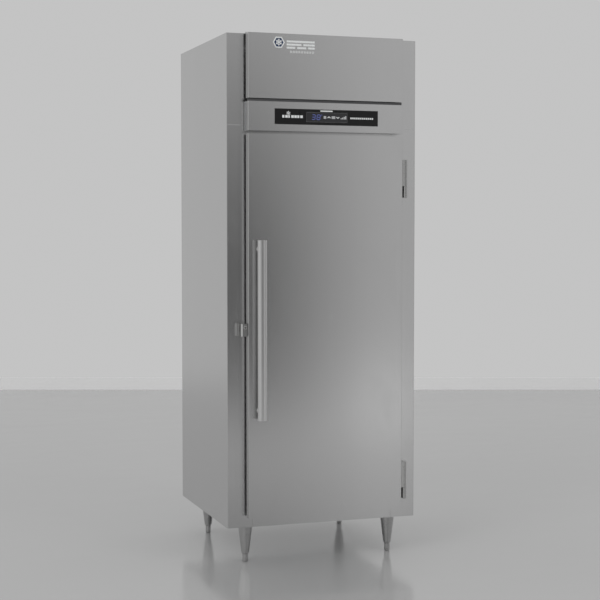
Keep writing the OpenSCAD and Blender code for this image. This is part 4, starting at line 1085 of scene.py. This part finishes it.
low, high = box_mm("back_panel")
grille_low, grille_high = box_mm("rear_grille")
fixings = Build()
fixings.screws((low.x + 11, high.x - 11), (high.y,), spread(low.z + 25, high.z - 25, 9), Y, 3.8)
fixings.screws(spread(low.x + 130, high.x - 130, 4), (high.y,), (low.z + 14,), Y, 3.8)
fixings.screws((grille_low.x + 11, 0, grille_high.x - 11), (grille_high.y,),
               spread(grille_low.z + 16, grille_high.z - 16, 3), Y, 3.8)
fixings.done("back_screws")
LOUVRE_W = 209.2
BLADE = [(-1.2, 10.4), (-1.9, 10.4), (-10.5, 1.2), (-11.2, -2.6), (-10.4, -2.8), (-9.7, 0.6), (-1.2, 9.6)]
louvres = Build()
for z in run(grille_low.z + 90, 26, 8):
    for x in (-240, 0, 240):
        louvres.prism(BLADE, (x - LOUVRE_W / 2, grille_high.y, z), Y, Z, X * LOUVRE_W)
louvres.done("louvre_blades", "back_sheet", smooth=False)

rail_low, rail_high = box_mm("top_cross_rail")
tabs = Build()
z = rail_high.z - 26
for s in (-1, 1):
    x = s * 390
    for y in (grille_high.y - 12, rail_high.y + 200):
        tabs.block((x - s * 12, y - 24, z), (x + s * 13.5, y, z + 1.4))
        tabs.block((x + s * 12.4, y - 24, z), (x + s * 13.6, y, z + 20))
        tabs.screw((x - s * 6, y - 12, z + 1.4), Z, 3.4)
tabs.done("top_corner_tabs", "galvanised", soft=0.0003)
rail_screws = Build()
rail_screws.screws(run(-320, 160, 5), (rail_low.y + 15,), (rail_high.z,), Z, 3.2)
rail_screws.done("cross_rail_screws")

under = Build()
sheet_z = box_mm("base_pan")[0].z - 1.2
wide, narrow, front, back = 372, 268, -292, 392
right_half = [(narrow, front), (narrow, -214), (wide, -214), (wide, 282), (narrow, 282), (narrow, back)]
under.prism(right_half + [(-x, y) for x, y in reversed(right_half)], (0, 0, sheet_z), X, Y, Z * 1.4)
for y in run(-150, 130, 4):
    under.prism([(-9, 0.1), (-5, -4), (5, -4), (9, 0.1)], (30 - wide, y, sheet_z), Y, Z, X * 2 * (wide - 30))
under.screws((14 - narrow, 0, narrow - 14), (front + 14, back - 14), (sheet_z,), -Z, 4.0)
under.done("underside_sheet", "galvanised")

stile_y = box_mm("right_side_panel")[0].y
seam, seals = Build(), Build()
for s in (-1, 1):
    seam.prism([(0.2, -2.4), (-0.6, -1.2), (-0.6, 0.8), (0.2, 2.4)],
               (s * 371 - 31.5, stile_y, fascia_low.z + 23), Y, Z, X * 63)
    seals.block((s * (HALF - 0.1), stile_y - 16.5, fascia_low.z + 1),
                (s * (HALF + 1.5), stile_y - 11, fascia_high.z - 1))
seam.done("stile_seams", "outer_steel")
seals.done("fascia_side_seals", "breaker_plastic", soft=0.0003)


# ---- stage

def stage_mesh(name, bm, material):
    made = make_object(name, bm, material)
    return made


def make_floor():
    """A round floor, cut off straight where it meets the back of the studio."""
    view = Vector((sin(radians(18.8)), cos(radians(18.8)), 0))
    side = Vector((view.y, -view.x, 0))
    bm = bmesh.new()
    bmesh.ops.create_circle(bm, cap_ends=True, radius=FLOOR_R, segments=180)
    bmesh.ops.bisect_plane(bm, geom=bm.verts[:] + bm.edges[:] + bm.faces[:], plane_co=view * FLOOR_BACK,
                           plane_no=view, clear_outer=True)
    stage_mesh("stage_floor", bm, floor_material())
    reach = sqrt(FLOOR_R ** 2 - FLOOR_BACK ** 2)
    bm = bmesh.new()
    bmesh.ops.create_cube(bm, size=1.0)
    for vert in bm.verts:
        vert.co = (view * (FLOOR_BACK + vert.co.y * 0.02) + side * vert.co.x * 2 * reach
                   + Vector((0, 0, (vert.co.z + 0.5) * SKIRTING_H)))
    gloss = Shade("stage_skirting", Roughness=0.5, Emission_Strength=1.0)
    cloud = gloss.noise(3, 3.0)
    gloss.feed("Base Color", gloss.tint(cloud, (0.88, 0.88, 0.88), (0.94, 0.94, 0.94)))
    gloss.bsdf.inputs["Emission Color"].default_value = (0.11, 0.11, 0.11, 1)
    stage_mesh("stage_skirting", bm, gloss.material)


def card_material(width, height, base):
    shade = Shade("stage_card", Roughness=1.0, Specular_IOR_Level=0.0)
    split = shade.node("ShaderNodeSeparateXYZ", {0: shade.place})
    along = shade.math("ADD", split.outputs[0], 0.5)
    up = shade.math("ADD", split.outputs[1], 0.5)
    side = shade.ramp(along, [((x - CARD_LEFT) / width, v) for x, v in CARD_SIDE])
    mask = shade.ramp(up, [((z - base) / height, v) for z, v in CARD_MASK])
    level = shade.tint(mask, (CARD_OPEN, CARD_OPEN, CARD_OPEN), side)
    scale = (width / GLOW_HALF[0], height / GLOW_HALF[1], 1)
    middle = ((GLOW_X - CARD_LEFT) / width - 0.5, (GLOW_Z - base) / height - 0.5)
    spread = shade.node("ShaderNodeMapping", {
        "Vector": shade.place, "Scale": scale, "Location": (-middle[0] * scale[0], -middle[1] * scale[1], 0)})
    reach = shade.node("ShaderNodeVectorMath", {0: spread.outputs[0]}, operation="LENGTH").outputs["Value"]
    shade.feed("Emission Color", shade.tint(shade.span(reach, 1.0, 0.0), level, (GLOW, GLOW, GLOW)))
    shade.bsdf.inputs["Emission Strength"].default_value = 1.0
    shade.bsdf.inputs["Base Color"].default_value = (0, 0, 0, 1)
    return shade


def make_card():
    """A card that only reflections see: soft gradients, and a glow low on its right."""
    height, base = 3.4, 0.02
    shade = card_material(CARD_WIDTH, height, base)
    bm = bmesh.new()
    bmesh.ops.create_grid(bm, x_segments=1, y_segments=1, size=0.5)
    card = stage_mesh("stage_card", bm, shade.material)
    card.scale = (CARD_WIDTH, height, 1)
    card.rotation_euler = (radians(90), 0, 0)
    card.location = (CARD_LEFT + CARD_WIDTH / 2, CARD_Y, base + height / 2)
    card.visible_camera = False
    card.visible_diffuse = False
    card.visible_shadow = False
    card.visible_transmission = False


set_world()
make_floor()
make_card()
area_light("key", (-4.2, -3.4, 4.2), (0, 0, 1.0), (2.6, 2.0), 60)
area_light("fill", (2.6, -4.6, 3.4), (0, 0, 1.0), (2.4, 2.4), 30)

bpy.context.view_layer.update()
